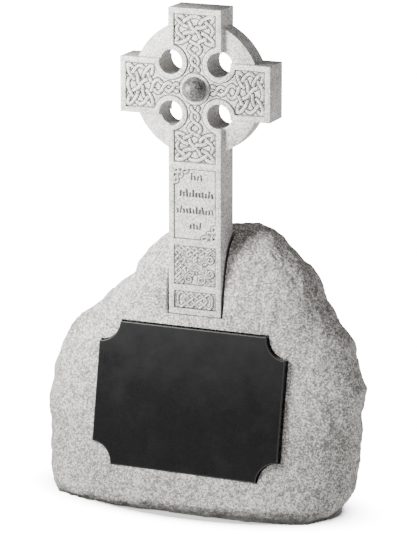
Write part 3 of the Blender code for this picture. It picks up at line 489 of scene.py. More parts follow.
class Relief:
    """A grid of depths behind the cross's front plane."""

    def __init__(self, low, high, pitch, ground):
        self.low = low
        self.pitch = pitch
        self.ground = ground
        shape = [round((b - a) / pitch) + 1 for a, b in zip(low, high)]
        self.u = low[0] + pitch * np.arange(shape[0])
        self.v = low[1] + pitch * np.arange(shape[1])
        self.depth = np.full((shape[1], shape[0]), float(ground))

    def stamp(self, centres, reach):
        """Grid places round each centre, clipped to the grid."""
        n = math.ceil(reach / self.pitch) + 1
        steps = np.arange(-n, n + 1)
        home = np.rint((centres - np.array(self.low)) / self.pitch).astype(int)
        iu = home[:, 0, None, None] + steps[None, None, :] + 0 * steps[None, :, None]
        iv = home[:, 1, None, None] + steps[None, :, None] + 0 * steps[None, None, :]
        inside = (iu >= 0) & (iu < len(self.u)) & (iv >= 0) & (iv < len(self.v))
        return np.clip(iu, 0, len(self.u) - 1), np.clip(iv, 0, len(self.v) - 1), inside

    def rib(self, line, closed, sharp, width, crest, sinks):
        """Lays a rounded rib along a line; sinks lowers it point by point."""
        p = np.array([tuple(q) for q in line])
        ends = np.roll(p, -1, axis=0) if closed else p[1:]
        starts = p if closed else p[:-1]
        low_a = sinks if closed else sinks[:-1]
        low_b = np.roll(sinks, -1) if closed else sinks[1:]
        run = ends - starts
        length = np.linalg.norm(run, axis=1)
        run /= length[:, None]
        iu, iv, inside = self.stamp((starts + ends) / 2, width / 2 + 1)
        du = self.u[iu] - starts[:, 0, None, None]
        dv = self.v[iv] - starts[:, 1, None, None]
        t = (du * run[:, 0, None, None] + dv * run[:, 1, None, None]) / length[:, None, None]
        off = np.abs(du * run[:, 1, None, None] - dv * run[:, 0, None, None])
        mask = inside & (t > -0.8) & (t < 1.8) & (off < width / 2)
        share = np.clip(t, 0, 1)
        sink = low_a[:, None, None] * (1 - share) + low_b[:, None, None] * share
        self.lower(iu, iv, mask, off, width, crest, sink)
        for k in sharp:
            before, after = run[k - 1], run[k]
            iu, iv, inside = self.stamp(p[k][None, :], width)
            du, dv = self.u[iu] - p[k][0], self.v[iv] - p[k][1]
            beyond = (du * before[0] + dv * before[1] > -0.1) & (du * after[0] + dv * after[1] < 0.1)
            off = np.maximum(np.abs(du * before[1] - dv * before[0]), np.abs(du * after[1] - dv * after[0]))
            self.lower(iu, iv, inside & beyond & (off < width / 2), off, width, crest, sinks[k])

    def lower(self, iu, iv, mask, off, width, crest, sink):
        section = np.sqrt(np.clip(1 - (2 * off / width) ** ROUNDNESS, 0, 1))
        depth = self.ground - (self.ground - crest) * (1 - np.minimum(sink, 1)) * section
        np.minimum.at(self.depth, (iv[mask], iu[mask]), depth[mask])

    def strands(self, paths, width, crest, flips=(), place=None):
        """Interlaced ribs: each strand goes over and under in turn."""
        lines, sharps = [], []
        for path in paths:
            line, sharp = smooth_line(path["points"], path.get("corners", ()), path.get("closed", False))
            lines.append(line)
            sharps.append(sharp)
        closed = [path.get("closed", False) for path in paths]
        crossings = find_crossings(lines, closed)
        over = choose_over(crossings, flips)
        sinks = [np.zeros(len(line)) for line in lines]
        for number, (one, two, _point, dir_one, dir_two) in enumerate(crossings):
            angle = max(0.35, abs(dir_one.x * dir_two.y - dir_one.y * dir_two.x))
            n, s = two if over[number] else one
            step = (lines[n][1] - lines[n][0]).length
            away = np.abs(np.arange(len(lines[n])) - s)
            if closed[n]:
                away = np.minimum(away, len(lines[n]) - away)
            gap = away * step * angle - width / 2
            sinks[n] = np.maximum(sinks[n], under_dip(gap * STRAND / width))
        for n, line in enumerate(lines):
            placed = [Vector(place(p)) for p in line] if place else line
            self.rib(placed, closed[n], sharps[n], width, crest, sinks[n])

    def leave(self, level, edge):
        """Leaves the stone higher between the strands, with a narrow cut round each and inside the border."""
        near = (self.depth < self.ground - 0.4) | (edge < 0.8)
        for _ in range(round(CUT / self.pitch)):
            near = np.logical_or.reduce([near, *neighbours(near)])
        self.depth = np.where(near, self.depth, level)

    def soften(self, seed):
        """Rounds the cut a little, and leaves the tool's faint marks."""
        d = 0.5 * self.depth + 0.125 * sum(neighbours(self.depth, mode="edge"))
        marks = np.random.default_rng(seed).normal(0, 1, d.shape)
        marks = (marks + sum(neighbours(marks, mode="edge"))) / 5
        self.depth = d + marks * np.where(d > self.ground - 0.3, 0.2, 0.1)

    def mesh(self, name, keep):
        """A closed slab: the kept cells on top, a skirt and one flat face below."""
        used = np.zeros(self.depth.shape, bool)
        for part in (used[:-1, :-1], used[1:, :-1], used[:-1, 1:], used[1:, 1:]):
            part |= keep
        index = np.full(self.depth.shape, -1)
        index[used] = np.arange(used.sum())
        vv, uu = np.nonzero(used)
        points = np.stack([self.u[uu] * MM, self.depth[used] * MM - THICK / 2, self.v[vv] * MM + BOSS_Z], -1)
        cv, cu = np.nonzero(keep)
        quads = np.stack([index[cv, cu], index[cv, cu + 1], index[cv + 1, cu + 1], index[cv + 1, cu]], -1)
        mesh = bpy.data.meshes.new(name)
        mesh.from_pydata(points.tolist(), [], quads.tolist())
        with reworked(mesh) as work:
            rim = [e for e in work.edges if e.is_boundary]
            for made in bmesh.ops.extrude_edge_only(work, edges=rim)["geom"]:
                if isinstance(made, bmesh.types.BMVert):
                    made.co.y = SLAB_FLOOR * MM - THICK / 2
            bmesh.ops.contextual_create(work, geom=[e for e in work.edges if e.is_boundary])
            bmesh.ops.recalc_face_normals(work, faces=work.faces)
        return mesh


def arm_relief(pitch):
    """The four arms' interlace and the band round the boss, with each arm's share of the grid."""
    half = math.ceil((ARM_END + 3) / pitch) * pitch
    relief = Relief((-half, -half), (half, half), pitch, ARM_GROUND)
    relief.strands(arm_paths(), STRAND, ARM_CREST, flips=((0.0, MID_LINE),))
    one = relief.depth
    relief.depth = np.minimum.reduce([np.rot90(one, k) for k in range(4)])
    far = np.hypot(*np.meshgrid(relief.u, relief.v))
    band = BAND_CREST + (ARM_GROUND - BAND_CREST) * np.clip((far - BOSS_BAND + 0.6) / 0.8, 0, 1)
    relief.depth = np.minimum(relief.depth, band)
    u, v = np.abs(np.meshgrid(relief.u, relief.v))
    relief.leave(ARM_POCKET, np.minimum.reduce([PANEL - np.minimum(u, v), ARM_END - np.maximum(u, v),
                                                np.hypot(u - HOLE_OFFSET, v - HOLE_OFFSET) - BAND]))
    relief.soften(3)
    u, v = np.meshgrid(relief.u[:-1] + pitch / 2, relief.v[:-1] + pitch / 2)
    a, b = np.abs(u), np.abs(v)
    keep = (np.minimum(a, b) < PANEL + SKIRT) & (np.maximum(a, b) < ARM_END + SKIRT)
    keep &= np.hypot(a - HOLE_OFFSET, b - HOLE_OFFSET) > BAND - SKIRT - 1
    keep &= (a > 20) | (b > 20)
    rising, falling = v > u, v > -u
    arms = {"up": rising & falling, "down": ~rising & ~falling, "left": rising & ~falling,
            "right": ~rising & falling}
    return relief, {name: keep & arm for name, arm in arms.items()}


def shaft_relief(number, pitch):
    """A shaft panel's grid, its low and high edge, and each place's distance inside its border."""
    low, high = shaft_panel(number)
    relief = Relief((-PANEL - SKIRT, low - SKIRT), (PANEL + SKIRT, high + SKIRT), pitch, SHAFT_GROUND)
    u, v = np.meshgrid(relief.u, relief.v)
    return relief, low, high, np.minimum.reduce([PANEL - np.abs(u), high - v, v - low])


def text_relief(pitch):
    """Rows of plain strokes between two corner ornaments."""
    relief, low, high, edge = shaft_relief(1, pitch)
    root = math.sqrt(0.5)
    inset = ORNAMENT_INSET * PANEL
    for corner, turn in (((-PANEL, high), 1), ((PANEL, low), -1)):
        base = (corner[0] + turn * inset, corner[1] - turn * inset)
        paths = triangle_path(SMALL_LOOP, ORNAMENT_STEP[0] * PANEL, ORNAMENT_STEP[1] * PANEL, base,
                              (root, root), (-turn * root, turn * root))
        relief.strands(paths, ORNAMENT_STRAND * PANEL, ORNAMENT_CREST)
    relief.leave(TEXT_LEVEL, edge)
    tall = high - low
    step = STROKE_STEP * PANEL
    chance = np.random.default_rng(11)
    uu, vv = np.meshgrid(relief.u, relief.v)
    for number, (down, start, end) in enumerate(STROKE_ROWS):
        x0, x1 = start * PANEL, end * PANEL
        count = int((x1 - x0) // step) + 1
        bottom = high - (down + 0.029) * tall
        for k in range(count):
            x = (x0 + x1 - (count - 1) * step) / 2 + k * step
            rise = STROKE_HEIGHTS[(k + 3 * number) % len(STROKE_HEIGHTS)] * tall
            half = STROKE_WIDTH * PANEL / 2 * chance.uniform(0.8, 1.25)
            lean = chance.uniform(-0.22, 0.22)
            middle = bottom + rise / 2
            across = np.clip((half - np.abs(uu - x - lean * (vv - middle))) / 0.8 + 0.5, 0, 1)
            along = np.clip((rise / 2 - np.abs(vv - middle)) / 0.8 + 0.5, 0, 1)
            relief.depth += STROKE_DEPTH * across * along
    relief.soften(5)
    return relief


def square_relief(pitch):
    """Four triangles between two diagonals: two with lattice knots and two with scrolls."""
    relief, low, high, edge = shaft_relief(3, pitch)
    middle = (low + high) / 2
    half_x, half_y = PANEL, (high - low) / 2
    unit = min(half_x, half_y)
    length = math.hypot(half_x, half_y)
    reach = length - 0.10 * unit
    inset = 0.086 * unit
    left = triangle_path(TRIANGLE_LOOP, half_y * 0.158, half_x * 0.134, (inset - half_x, middle),
                         (0, 1), (1, 0))
    top = triangle_path(TRIANGLE_LOOP, half_x * 0.160, half_y * 0.128, (0, high - inset), (1, 0), (0, -1))
    for paths in (left, top):
        relief.strands(paths, TRIANGLE_STRAND * unit, SHAFT_CREST)
    bottom = curl_paths((0, low + 0.02 * unit), (1, 0), (0, 1), 0.02 * unit)
    right = curl_paths((half_x - 0.02 * unit, middle), (0, 1), (-1, 0), 0.02 * unit)
    for paths in (bottom, right):
        relief.strands(paths, CURL_STRAND * unit, SHAFT_CREST)
    relief.leave(SHAFT_POCKET, edge)
    uu, vv = np.meshgrid(relief.u, relief.v - middle)
    for sign, cut in ((-1, 0.85), (1, 1.0)):
        along = (uu * half_x + sign * vv * half_y) / length
        off = np.abs(uu * half_y - sign * vv * half_x) / length
        inside = np.abs(along) < reach
        rib = ORNAMENT_CREST + (SHAFT_GROUND - ORNAMENT_CREST) * np.clip(
            (off - DIAGONAL_RIB * unit / 2) / 0.7, 0, 1)
        relief.depth = np.where(inside, np.minimum(relief.depth, rib), relief.depth)
        line = cut * SHAFT_GROUND * np.clip(1.5 - off / 0.75, 0, 1)
        relief.depth = np.where(inside, np.maximum(relief.depth, line), relief.depth)
    relief.soften(7)
    return relief


def chain_relief(pitch):
    """A low closed chain of two strands."""
    relief, low, high, edge = shaft_relief(5, pitch)
    half = (high - low) / 2
    width = CHAIN_STRAND * half
    dx = (PANEL * (1 - CHAIN_MARGIN[0]) - width / 2) / 4
    dy = (half * (1 - CHAIN_MARGIN[1]) - width / 2) / 2
    first = [(x * dx, y * dy) for x, y in CHAIN_LOOP]
    paths = [{"points": first, "closed": True}, {"points": mirrored(first), "closed": True}]
    relief.strands(paths, width, SHAFT_CREST, place=lambda p: (p.x, p.y + (low + high) / 2))
    relief.leave(CHAIN_POCKET, edge)
    relief.soften(9)
    return relief


# Cross body

def cross_outline():
    """The cross with its four bitten corners, and one point where the ring meets each side."""
    meet = math.sqrt(DISC * DISC - BAR * BAR)
    low = math.acos((BAR - HOLE_OFFSET) / HOLE)
    bite = arc((HOLE_OFFSET, HOLE_OFFSET), HOLE, low, 2 * math.pi + math.pi / 2 - low, 44)
    made = []
    for quarter in range(4):
        points = [(BAR, SPAN), (BAR, meet)] + bite + [(meet, BAR), (SPAN, BAR)]
        made += turn_quarter(points, (4 - quarter) % 4)
    return [(x, FOOT if abs(y + SPAN) < 1e-6 else y) for x, y in made]


def ring_outlines():
    """The four ring plates between the arms, each with its hole's outer part."""
    low = math.acos((BAR - HOLE_OFFSET) / HOLE)
    rim = math.asin(BAR / DISC)
    outer = arc((0, 0), DISC, math.pi / 2 - rim, rim, 36)
    inner = arc((HOLE_OFFSET, HOLE_OFFSET), HOLE, math.pi / 2 - low, low, 14)
    return [turn_quarter(outer + inner, quarter) for quarter in range(4)]


def field_outline():
    """The sunk cross-shaped field that the four arm patterns lie in."""
    low = math.acos((PANEL - HOLE_OFFSET) / BAND)
    bite = arc((HOLE_OFFSET, HOLE_OFFSET), BAND, low, 2 * math.pi + math.pi / 2 - low, 36)
    made = []
    for quarter in range(4):
        points = [(PANEL, ARM_END)] + bite + [(ARM_END, PANEL)]
        made += turn_quarter(points, (4 - quarter) % 4)
    return [(x, -SHAFT_END if abs(y + ARM_END) < 1e-6 else y) for x, y in made]


def flat_regions(areas):
    """Triangles of the uppermost area at each place, as (point key, depth) corners."""
    points, faces, kinds = [], [], []
    for outline, rank, depth in areas:
        start = len(points)
        points += [Vector(p) for p in outline]
        order = list(range(start, len(points)))
        total = sum(a[0] * b[1] - b[0] * a[1] for a, b in zip(outline, outline[1:] + outline[:1]))
        faces.append(order if total > 0 else order[::-1])
        kinds.append((rank, depth))
    points, _edges, faces, _from, _from_edges, owners = delaunay_2d_cdt(points, [], faces, 1, 1e-5)
    keys = [(round(p.x, 4), round(p.y, 4)) for p in points]
    made = []
    for face, owner in zip(faces, owners):
        if owner:
            depth = max(kinds[o] for o in owner)[1]
            made.append([(keys[k], depth) for k in face])
    return made


def wall(columns, a, b, span_a, span_b):
    """Triangles between two upright edges, through every point that other faces put on them."""
    rows = []
    for key, (low, high) in ((a, sorted(span_a)), (b, sorted(span_b))):
        rows.append([(key, d) for d in sorted(columns[key]) if low - 1e-6 <= d <= high + 1e-6])
    left, right = rows
    made = []
    i = j = 0
    while i < len(left) - 1 or j < len(right) - 1:
        if j == len(right) - 1 or (i < len(left) - 1 and left[i + 1][1] <= right[j + 1][1]):
            made.append((left[i], right[j], left[i + 1]))
            i += 1
        else:
            made.append((left[i], right[j], right[j + 1]))
            j += 1
    return made


def shell(front, back):
    """Closed faces between a stepped front and a back that share one outline."""
    columns = defaultdict(set)
    for triangle in front + back:
        for key, depth in triangle:
            columns[key].add(depth)
    made = [tuple(t) for t in front + back]
    borders = []
    for side in (front, back):
        seen = defaultdict(list)
        for triangle in side:
            for (a, da), (b, db) in zip(triangle, triangle[1:] + triangle[:1]):
                seen[min(a, b), max(a, b)].append((da, db) if a < b else (db, da))
        borders.append({pair: depths[0] for pair, depths in seen.items() if len(depths) == 1})
        for (a, b), depths in seen.items():
            if len(depths) == 2 and depths[0] != depths[1]:
                made += wall(columns, a, b, (depths[0][0], depths[1][0]), (depths[0][1], depths[1][1]))
    if set(borders[0]) != set(borders[1]):
        raise RuntimeError("the front and back outlines of the cross differ")
    for (a, b), near in borders[0].items():
        far = borders[1][a, b]
        made += wall(columns, a, b, (near[0], far[0]), (near[1], far[1]))
    return made


def cross_body_piece(name, arris):
    """The whole cross with its ring and sunk fields, and its edges rounded a little."""
    front = [(cross_outline(), 20, 0.0), (field_outline(), 30, BODY_RECESS)]
    for number in (1, 3, 5):
        low, high = shaft_panel(number)
        front.append(([(-PANEL, low), (PANEL, low), (PANEL, high), (-PANEL, high)], 30, BODY_RECESS))
    back = [(cross_outline(), 20, THICK / MM)]
    for outline in ring_outlines():
        front.append((outline, 10, RING_INSET))
        back.append((outline, 10, THICK / MM - RING_INSET))
    index, points, faces = {}, [], []
    for triangle in shell(flat_regions(front), flat_regions(back)):
        face = []
        for (u, v), depth in triangle:
            key = (u, v, round(depth, 4))
            if key not in index:
                index[key] = len(points)
                points.append((u * MM, depth * MM - THICK / 2, v * MM + BOSS_Z))
            face.append(index[key])
        faces.append(face)
    mesh = mesh_from(name, points, faces)
    with reworked(mesh) as work:
        bmesh.ops.dissolve_limit(work, angle_limit=math.radians(0.5), verts=work.verts, edges=work.edges)
    piece = link(name, mesh)
    bevel = piece.modifiers.new("arris", "BEVEL")
    bevel.width = arris
    bevel.segments = 2
    bevel.limit_method = "ANGLE"
    bevel.angle_limit = math.radians(35)
    settle(piece)
    smooth_shade(piece.data, 40)
    return piece


# Boulder

def table(rows, z, column=1):
    return np.interp(z, [r[0] for r in rows], [r[column] for r in rows])


def eased(values):
    """The same run of values with its kinks rounded."""
    wide = np.pad(values, 3, mode="edge")
    return sum(w * wide[k:k + len(values)] for k, w in enumerate((1, 2, 3, 4, 3, 2, 1))) / 16


def boulder_rings(levels, around):
    """Points round each level of the boulder, closer together at the front."""
    z = np.linspace(0.0, BOULDER_SIDES[-1][0], levels)
    left, right = eased(table(BOULDER_SIDES, z, 1)), eased(table(BOULDER_SIDES, z, 2))
    front, back = eased(table(BOULDER_FRONT, z)), eased(table(BOULDER_BACK, z))
    angle = np.linspace(0.5 * math.pi, 2.5 * math.pi, 4001)
    c, s = np.cos(angle), np.sin(angle)
    rings = []
    for k in range(levels):
        power = np.where(s > 0, BACK_SQUARENESS, np.where(c < 0, LEFT_SQUARENESS, RIGHT_SQUARENESS))
        x = (left[k] + right[k]) / 2 + (right[k] - left[k]) / 2 * np.sign(c) * np.abs(c) ** (2 / power)
        y = (front[k] + back[k]) / 2 + (back[k] - front[k]) / 2 * np.sign(s) * np.abs(s) ** (2 / power)
        steps = np.hypot(np.diff(x), np.diff(y)) * np.where(s[1:] < 0.2, 1.5, 1.0)
        run = np.concatenate([[0], np.cumsum(steps)])
        places = np.linspace(0, run[-1], around + 1)[:-1]
        rings.append(np.stack([np.interp(places, run, x), np.interp(places, run, y) - THICK / 2,
                               np.full(around, z[k])], -1))
    top = rings[-1]
    centre = top.mean(0)
    for share in np.linspace(0.92, 0.06, CAP_RINGS):
        ring = centre + (top - centre) * share
        ring[:, 2] = top[0, 2] + CAP_RISE * (1 - share * share)
        rings.append(ring)
    return np.array(rings)


def ease(value, low, high):
    """From 0 at low to 1 at high, with a soft start and end."""
    t = min(1.0, max(0.0, (value - low) / (high - low)))
    return t * t * (3 - 2 * t)


def bumps(place, count, rise):
    """Smooth swells, so many to a metre and so high."""
    return rise * noise.noise(place * count)


def scoops(place, warp, count, depth, narrow):
    """Shallow hollows round scattered points."""
    far = noise.voronoi(place * count + warp)[0][0]
    return depth * max(0.0, 1 - narrow * far * far)


def rock_lift(p, normal):
    """How far the split stone stands out at a point, in metres."""
    v = Vector(p)
    x, _y, z = p
    side = ease(normal[1], -0.97, -0.70)
    faced = 1 - ease(normal[1], -0.90, -0.60)
    by_plaque = faced * (1 - ease(abs(x), 0.25, 0.31)) * ease(z, 0.07, 0.12) * (1 - ease(z, 0.45, 0.50))
    warp = SCOOP_WARP[1] * noise.noise_vector(v * SCOOP_WARP[0])
    split = SWELL[1] * noise.noise(v * SWELL[0] + SWELL_SHIFT) + bumps(v, *LUMPS) \
        - side * scoops(v, warp, *LARGE_SCOOPS) - scoops(v, warp, *SMALL_SCOOPS)
    reach = FOOT_REACH[0] + FOOT_REACH[1] * ease(x, -0.30, 0.15)
    low = faced * (1 - ease(z + bumps(v, *FOOT_EDGE), reach, reach + 0.007))
    layers = faced * (1 - ease(z, 0.03, 0.06)) * noise.noise(Vector((x * 12, 0, z * FOOT_LAYERS[0])))
    foot = low * (bumps(v, *FOOT_LUMPS) - FOOT_CUT) + FOOT_LAYERS[1] * layers
    middle, width, height = SHOULDER
    shoulder = height * faced * ease(z, 0.47, 0.55) * (1 - ease(z, 0.56, 0.60)) \
        * math.exp(-((x - middle) / width) ** 2)
    pits = bumps(v, *LARGE_PITS) + bumps(v, *SMALL_PITS)
    return (split * (1 - 0.8 * by_plaque) - 0.001 * by_plaque + foot + shoulder
            + (0.0007 + 0.0006 * side + 0.0008 * low) * pits)


def boulder_mesh(name, levels, around):
    """The boulder before its slot and seat are cut, in triangles, with a flat underside."""
    noise.seed_set(ROCK_SEED)
    rings = boulder_rings(levels, around)
    forward = np.roll(rings, -1, axis=1) - np.roll(rings, 1, axis=1)
    upward = np.gradient(rings, axis=0)
    normal = np.cross(forward, upward)
    normal /= np.maximum(np.linalg.norm(normal, axis=2), 1e-9)[..., None]
    lifts = np.array([[rock_lift(p, n) for p, n in zip(row, out)] for row, out in zip(rings, normal)])
    points = np.clip(rings + normal * lifts[..., None], np.array(BOULDER_LOW) + CLEARANCE,
                     np.array(BOULDER_HIGH) - CLEARANCE)
    points[0, :, 2] = 0.0
    faces = []
    for a, b, c, d in tube_faces(len(points), around):
        faces += [(a, b, c), (a, c, d)]
    flat = points.reshape(-1, 3).tolist()
    tip = len(flat)
    flat.append((points[-1].mean(0) + np.array((0, 0, 0.0002))).tolist())
    return mesh_from(name, flat, faces + [tuple(range(around))[::-1]] + tip_faces(tip - around, around, tip))


def slot_cutter(left, right):
    """A block in the slot's shape, with a gap on each side of the shaft."""
    points = [(x, y, z) for z in (CROSS_LOW.z - 3 * CLEARANCE, SLOT_TOP)
              for y in (SLOT_FRONT, THICK / 2 + CLEARANCE) for x in (-BAR * MM - left, BAR * MM + right)]
    faces = [[0, 1, 3, 2], [4, 5, 7, 6], [0, 1, 5, 4], [2, 3, 7, 6], [0, 2, 6, 4], [1, 3, 7, 5]]
    return link("slot_cutter", mesh_from("slot_cutter", points, faces))


# Plaque

def plaque_outline(sizes, inset):
    """The plaque's edge with a hollow quarter round at each corner."""
    w, h = sizes.width / 2, sizes.height / 2
    r = sizes.scoop + inset
    tip = math.asin(max(-1.0, min(1.0, inset / r)))
    made = []
    for sx, sy in ((1, 1), (-1, 1), (-1, -1), (1, -1)):
        run = [(sx * x, sy * y) for x, y in arc((w, h), r, -math.pi / 2 - tip, -math.pi + tip, 28)]
        made += run if sx * sy > 0 else run[::-1]
    return made


def plaque_place(sizes, a, b, out):
    """A point on the plaque: across, up its face, and out from its face."""
    up = Vector((0.0, math.sin(sizes.lean), math.cos(sizes.lean)))
    normal = Vector((0.0, -math.cos(sizes.lean), math.sin(sizes.lean)))
    centre = Vector((0.0, sizes.face_y - THICK / 2, sizes.centre_z))
    return tuple(centre + Vector((a, 0.0, 0.0)) + up * b + normal * out)


def plaque_mesh(name, sizes, layers):
    """The two end faces first, then the band between each layer (inset, out) and the next."""
    points = [plaque_place(sizes, a, b, out)
              for inset, out in layers for a, b in plaque_outline(sizes, inset)]
    n = len(points) // len(layers)
    ends = [tuple(range(n)), tuple(range(len(points) - n, len(points)))]
    return mesh_from(name, points, ends + tube_faces(len(layers), n))


# Boss

def boss_mesh(name, sizes):
    """A half ball on a short root."""
    around, rows = 72, 24
    front = -THICK / 2
    profile = [(sizes.radius, BOSS_HIGH.y)]
    for k in range(rows):
        angle = k / rows * math.pi / 2
        profile.append((sizes.radius * math.cos(angle), front - sizes.rise * math.sin(angle)))
    points = [(r * math.cos(2 * math.pi * k / around), y, BOSS_Z + r * math.sin(2 * math.pi * k / around))
              for r, y in profile for k in range(around)]
    tip = len(points)
    points.append((0.0, front - sizes.rise, BOSS_Z))
    return mesh_from(name, points, [tuple(range(around))] + tube_faces(len(profile), around)
                     + tip_faces(tip - around, around, tip))


# Finishes

class Wire:
    """A shader value that takes part in Python arithmetic."""

    def __init__(self, web, socket):
        self.web = web
        self.socket = socket

    def maths(self, operation, *values, clamp=False):
        settings = {"operation": operation, "use_clamp": clamp}
        return self.web.node("ShaderNodeMath", settings, dict(enumerate(values)))

    def __add__(self, other):
        return self.maths("ADD", self, other)

    def __radd__(self, other):
        return self.maths("ADD", other, self)

    def __sub__(self, other):
        return self.maths("SUBTRACT", self, other)

    def __rsub__(self, other):
        return self.maths("SUBTRACT", other, self)

    def __mul__(self, other):
        return self.maths("MULTIPLY", self, other)

    def __rmul__(self, other):
        return self.maths("MULTIPLY", other, self)

    def __truediv__(self, other):
        return self.maths("DIVIDE", self, other)

    def __pow__(self, other):
        return self.maths("POWER", self, other)

    def __abs__(self):
        return self.maths("ABSOLUTE", self)

    def most(self, other):
        """The larger of the two."""
        return self.maths("MAXIMUM", self, other)

    def ramp(self, low, high):
        """From 0 at low to 1 at high."""
        return self.maths("MULTIPLY", self - low, 1.0 / (high - low), clamp=True)


class Web:
    """The nodes of one material, or of the tree handed in."""

    def __init__(self, home):
        self.tree = home
        if isinstance(home, str):
            self.material = bpy.data.materials.new(home)
            self.material.use_nodes = True
            self.tree = self.material.node_tree
        self.tree.nodes.clear()
        self.place = self.node("ShaderNodeTexCoord", output="Object")

    def node(self, kind, settings=None, sockets=None, output=0):
        made = self.tree.nodes.new(kind)
        for key, value in (settings or {}).items():
            setattr(made, key, value)
        for key, value in (sockets or {}).items():
            if isinstance(value, Wire):
                self.tree.links.new(value.socket, made.inputs[key])
            else:
                made.inputs[key].default_value = value
        return Wire(self, made.outputs[output]) if len(made.outputs) else None

    def noise(self, scale, detail, rough=0.5):
        return self.node("ShaderNodeTexNoise", None,
                         {"Vector": self.place, "Scale": scale, "Detail": detail, "Roughness": rough})

    def grains(self, scale):
        """One colour to each grain."""
        return self.node("ShaderNodeTexVoronoi", None, {"Vector": self.place, "Scale": scale}, "Color")

    def part(self, value, channel=0):
        return self.node("ShaderNodeSeparateXYZ", None, {0: value}, channel)

    def blend(self, factor, first, second):
        return self.node("ShaderNodeMix", {"data_type": "RGBA"}, {0: factor, 6: first, 7: second}, 2)

    def finish(self, colour, roughness, bumps, constants=None):
        """bumps are (height, distance, strength), the coarsest first."""
        normal = None
        for height, distance, strength in bumps:
            sockets = {"Height": height, "Distance": distance, "Strength": strength}
            if normal:
                sockets["Normal"] = normal
            normal = self.node("ShaderNodeBump", None, sockets)
        sockets = {"Base Color": colour, "Roughness": roughness, **(constants or {})}
        if normal:
            sockets["Normal"] = normal
        shader = self.node("ShaderNodeBsdfPrincipled", None, sockets)
        self.node("ShaderNodeOutputMaterial", None, {"Surface": shader})
        return self.material


def grey(value):
    return (value, value, value, 1.0)


def tones(colour, *factors):
    """Darker and lighter tones of one colour."""
    return [tuple(min(1.0, c * f) for c in colour) + (1.0,) for f in factors]


def painted_shade_in_cuts(web):
    """Painted shade in the carving's narrow cuts: the deeper the stone lies behind the front, the darker."""
    return (web.part(web.place, 1) + THICK / 2).ramp(0.0034, 0.0050) * 0.95


def painted_shade_in_holes(web):
    """Painted shade on the walls of the four round holes, strongest where they face up."""
    across = abs(web.part(web.place, 0)) - HOLE_OFFSET * MM
    up = abs(web.part(web.place, 2) - BOSS_Z) - HOLE_OFFSET * MM
    far = (across * across + up * up) ** 0.5
    facing = web.part(web.node("ShaderNodeNewGeometry", output="Normal"), 2)
    return (1 - far.ramp((HOLE + 0.5) * MM, (HOLE + 1.2) * MM)) * (0.28 + facing.ramp(-0.1, 0.9) * 0.45)


def painted_shade_in_joint(web):
    """Painted shade on the shaft's sides where they go down into the boulder's slot."""
    rows = [(z, y) for z, y in BOULDER_FRONT if z >= CROSS_LOW.z]
    fit = np.polyfit([z - CROSS_LOW.z for z, _y in rows], [y for _z, y in rows], 4)
    up = web.part(web.place, 2) - CROSS_LOW.z
    front = float(fit[0])
    for factor in fit[1:]:
        front = up * front + float(factor)
    depth = web.part(web.place, 1) + THICK / 2
    behind = (depth - front).ramp(0.0012, 0.003) * depth.ramp(0.0008, 0.0016)
    return behind * (1 - up.ramp(0.20, 0.21)) * 0.9


def painted_shade_on_cross(web):
    """Painted shade in the four round holes and in the joint."""
    return painted_shade_in_holes(web).most(painted_shade_in_joint(web))


def painted_shade_along_foot(web):
    """Painted shade in the undercut along the boulder's ragged lower edge, and a little painted shade growing
    towards the bottom.
    """
    up = web.part(web.place, 2)
    ragged = up - web.part(web.place, 0) * 0.02 + (web.noise(45.0, 4.0, 0.65) - 0.5) * 0.04
    return (1 - ragged.ramp(0.006, 0.026)) * 0.8 + (1 - up.ramp(0.05, 0.40)) * 0.10


def painted_shade_on_boulder(web):
    """Painted shade on the slot's walls, along the lower edge and over the upper right."""
    across, along, up = (web.part(web.place, channel) for channel in range(3))
    # Painted shade on the slot's walls.
    walls = (1 - abs(across).ramp(*SLOT_WALLS)) * up.ramp(CROSS_LOW.z - 0.002, CROSS_LOW.z - 0.001) \
        * (1 - along.ramp(THICK / 2, THICK / 2 + 0.001))
    # Painted shade over the upper right of the boulder.
    shade_upper_right = across.ramp(0.05, 0.18) * up.ramp(0.32, 0.50) * 0.17
    return (walls * 0.85).most(painted_shade_along_foot(web) + shade_upper_right)


def granite(name, colours, grain, clump, roughness, relief, speckle=1.0, lean=1.0, painted_shade=None):
    """Speckled granite: pale and grey grains with dark flecks, in clumps, over slow clouds of tone."""
    web = Web(name)
    coarse = web.part(web.grains(1 / grain))
    fine = web.part(web.grains(1.9 / grain), 1)
    fleck = web.part(web.grains(1.3 / grain), 2)
    clumps = web.noise(1 / clump, 2.0, 0.6)
    cloud = web.noise(30.0, 3.0, 0.6)
    patch = web.noise(7.0, 3.0, 0.5)
    tone = 0.5 + ((coarse - 0.5) * 0.9 + (fine - 0.5) * 0.6 + (clumps - 0.5) * 0.95
                  + (cloud - 0.5) * 0.75 + (patch - 0.5) * 0.5) * speckle
    stone = web.blend(tone.ramp(0.0, 1.0) ** lean, colours[0], colours[1])
    dark = (fleck + (clumps - 0.5) * 0.5).ramp(0.84, 0.88)
    stone = web.blend(dark * 0.7, stone, colours[2])
    # Painted shade: the mask blends the stone towards the fourth, darkest tone.
    if painted_shade:
        stone = web.blend(painted_shade(web), stone, colours[3])
    rough = roughness + (coarse - 0.5) * 0.12 + (cloud - 0.5) * 0.1
    bumps = [(clumps, relief, 0.8), (coarse + fine * 0.6, relief * 0.3, 0.5)]
    return web.finish(stone, rough, bumps)


def painted_light_above(web):
    """Painted light: the plaque's face lighter towards its top, with random patches of lighter tone."""
    return web.part(web.place, 2).ramp(0.24, 0.46) * 0.5 + (web.noise(16.0, 4.0, 0.6) - 0.5) * 0.9


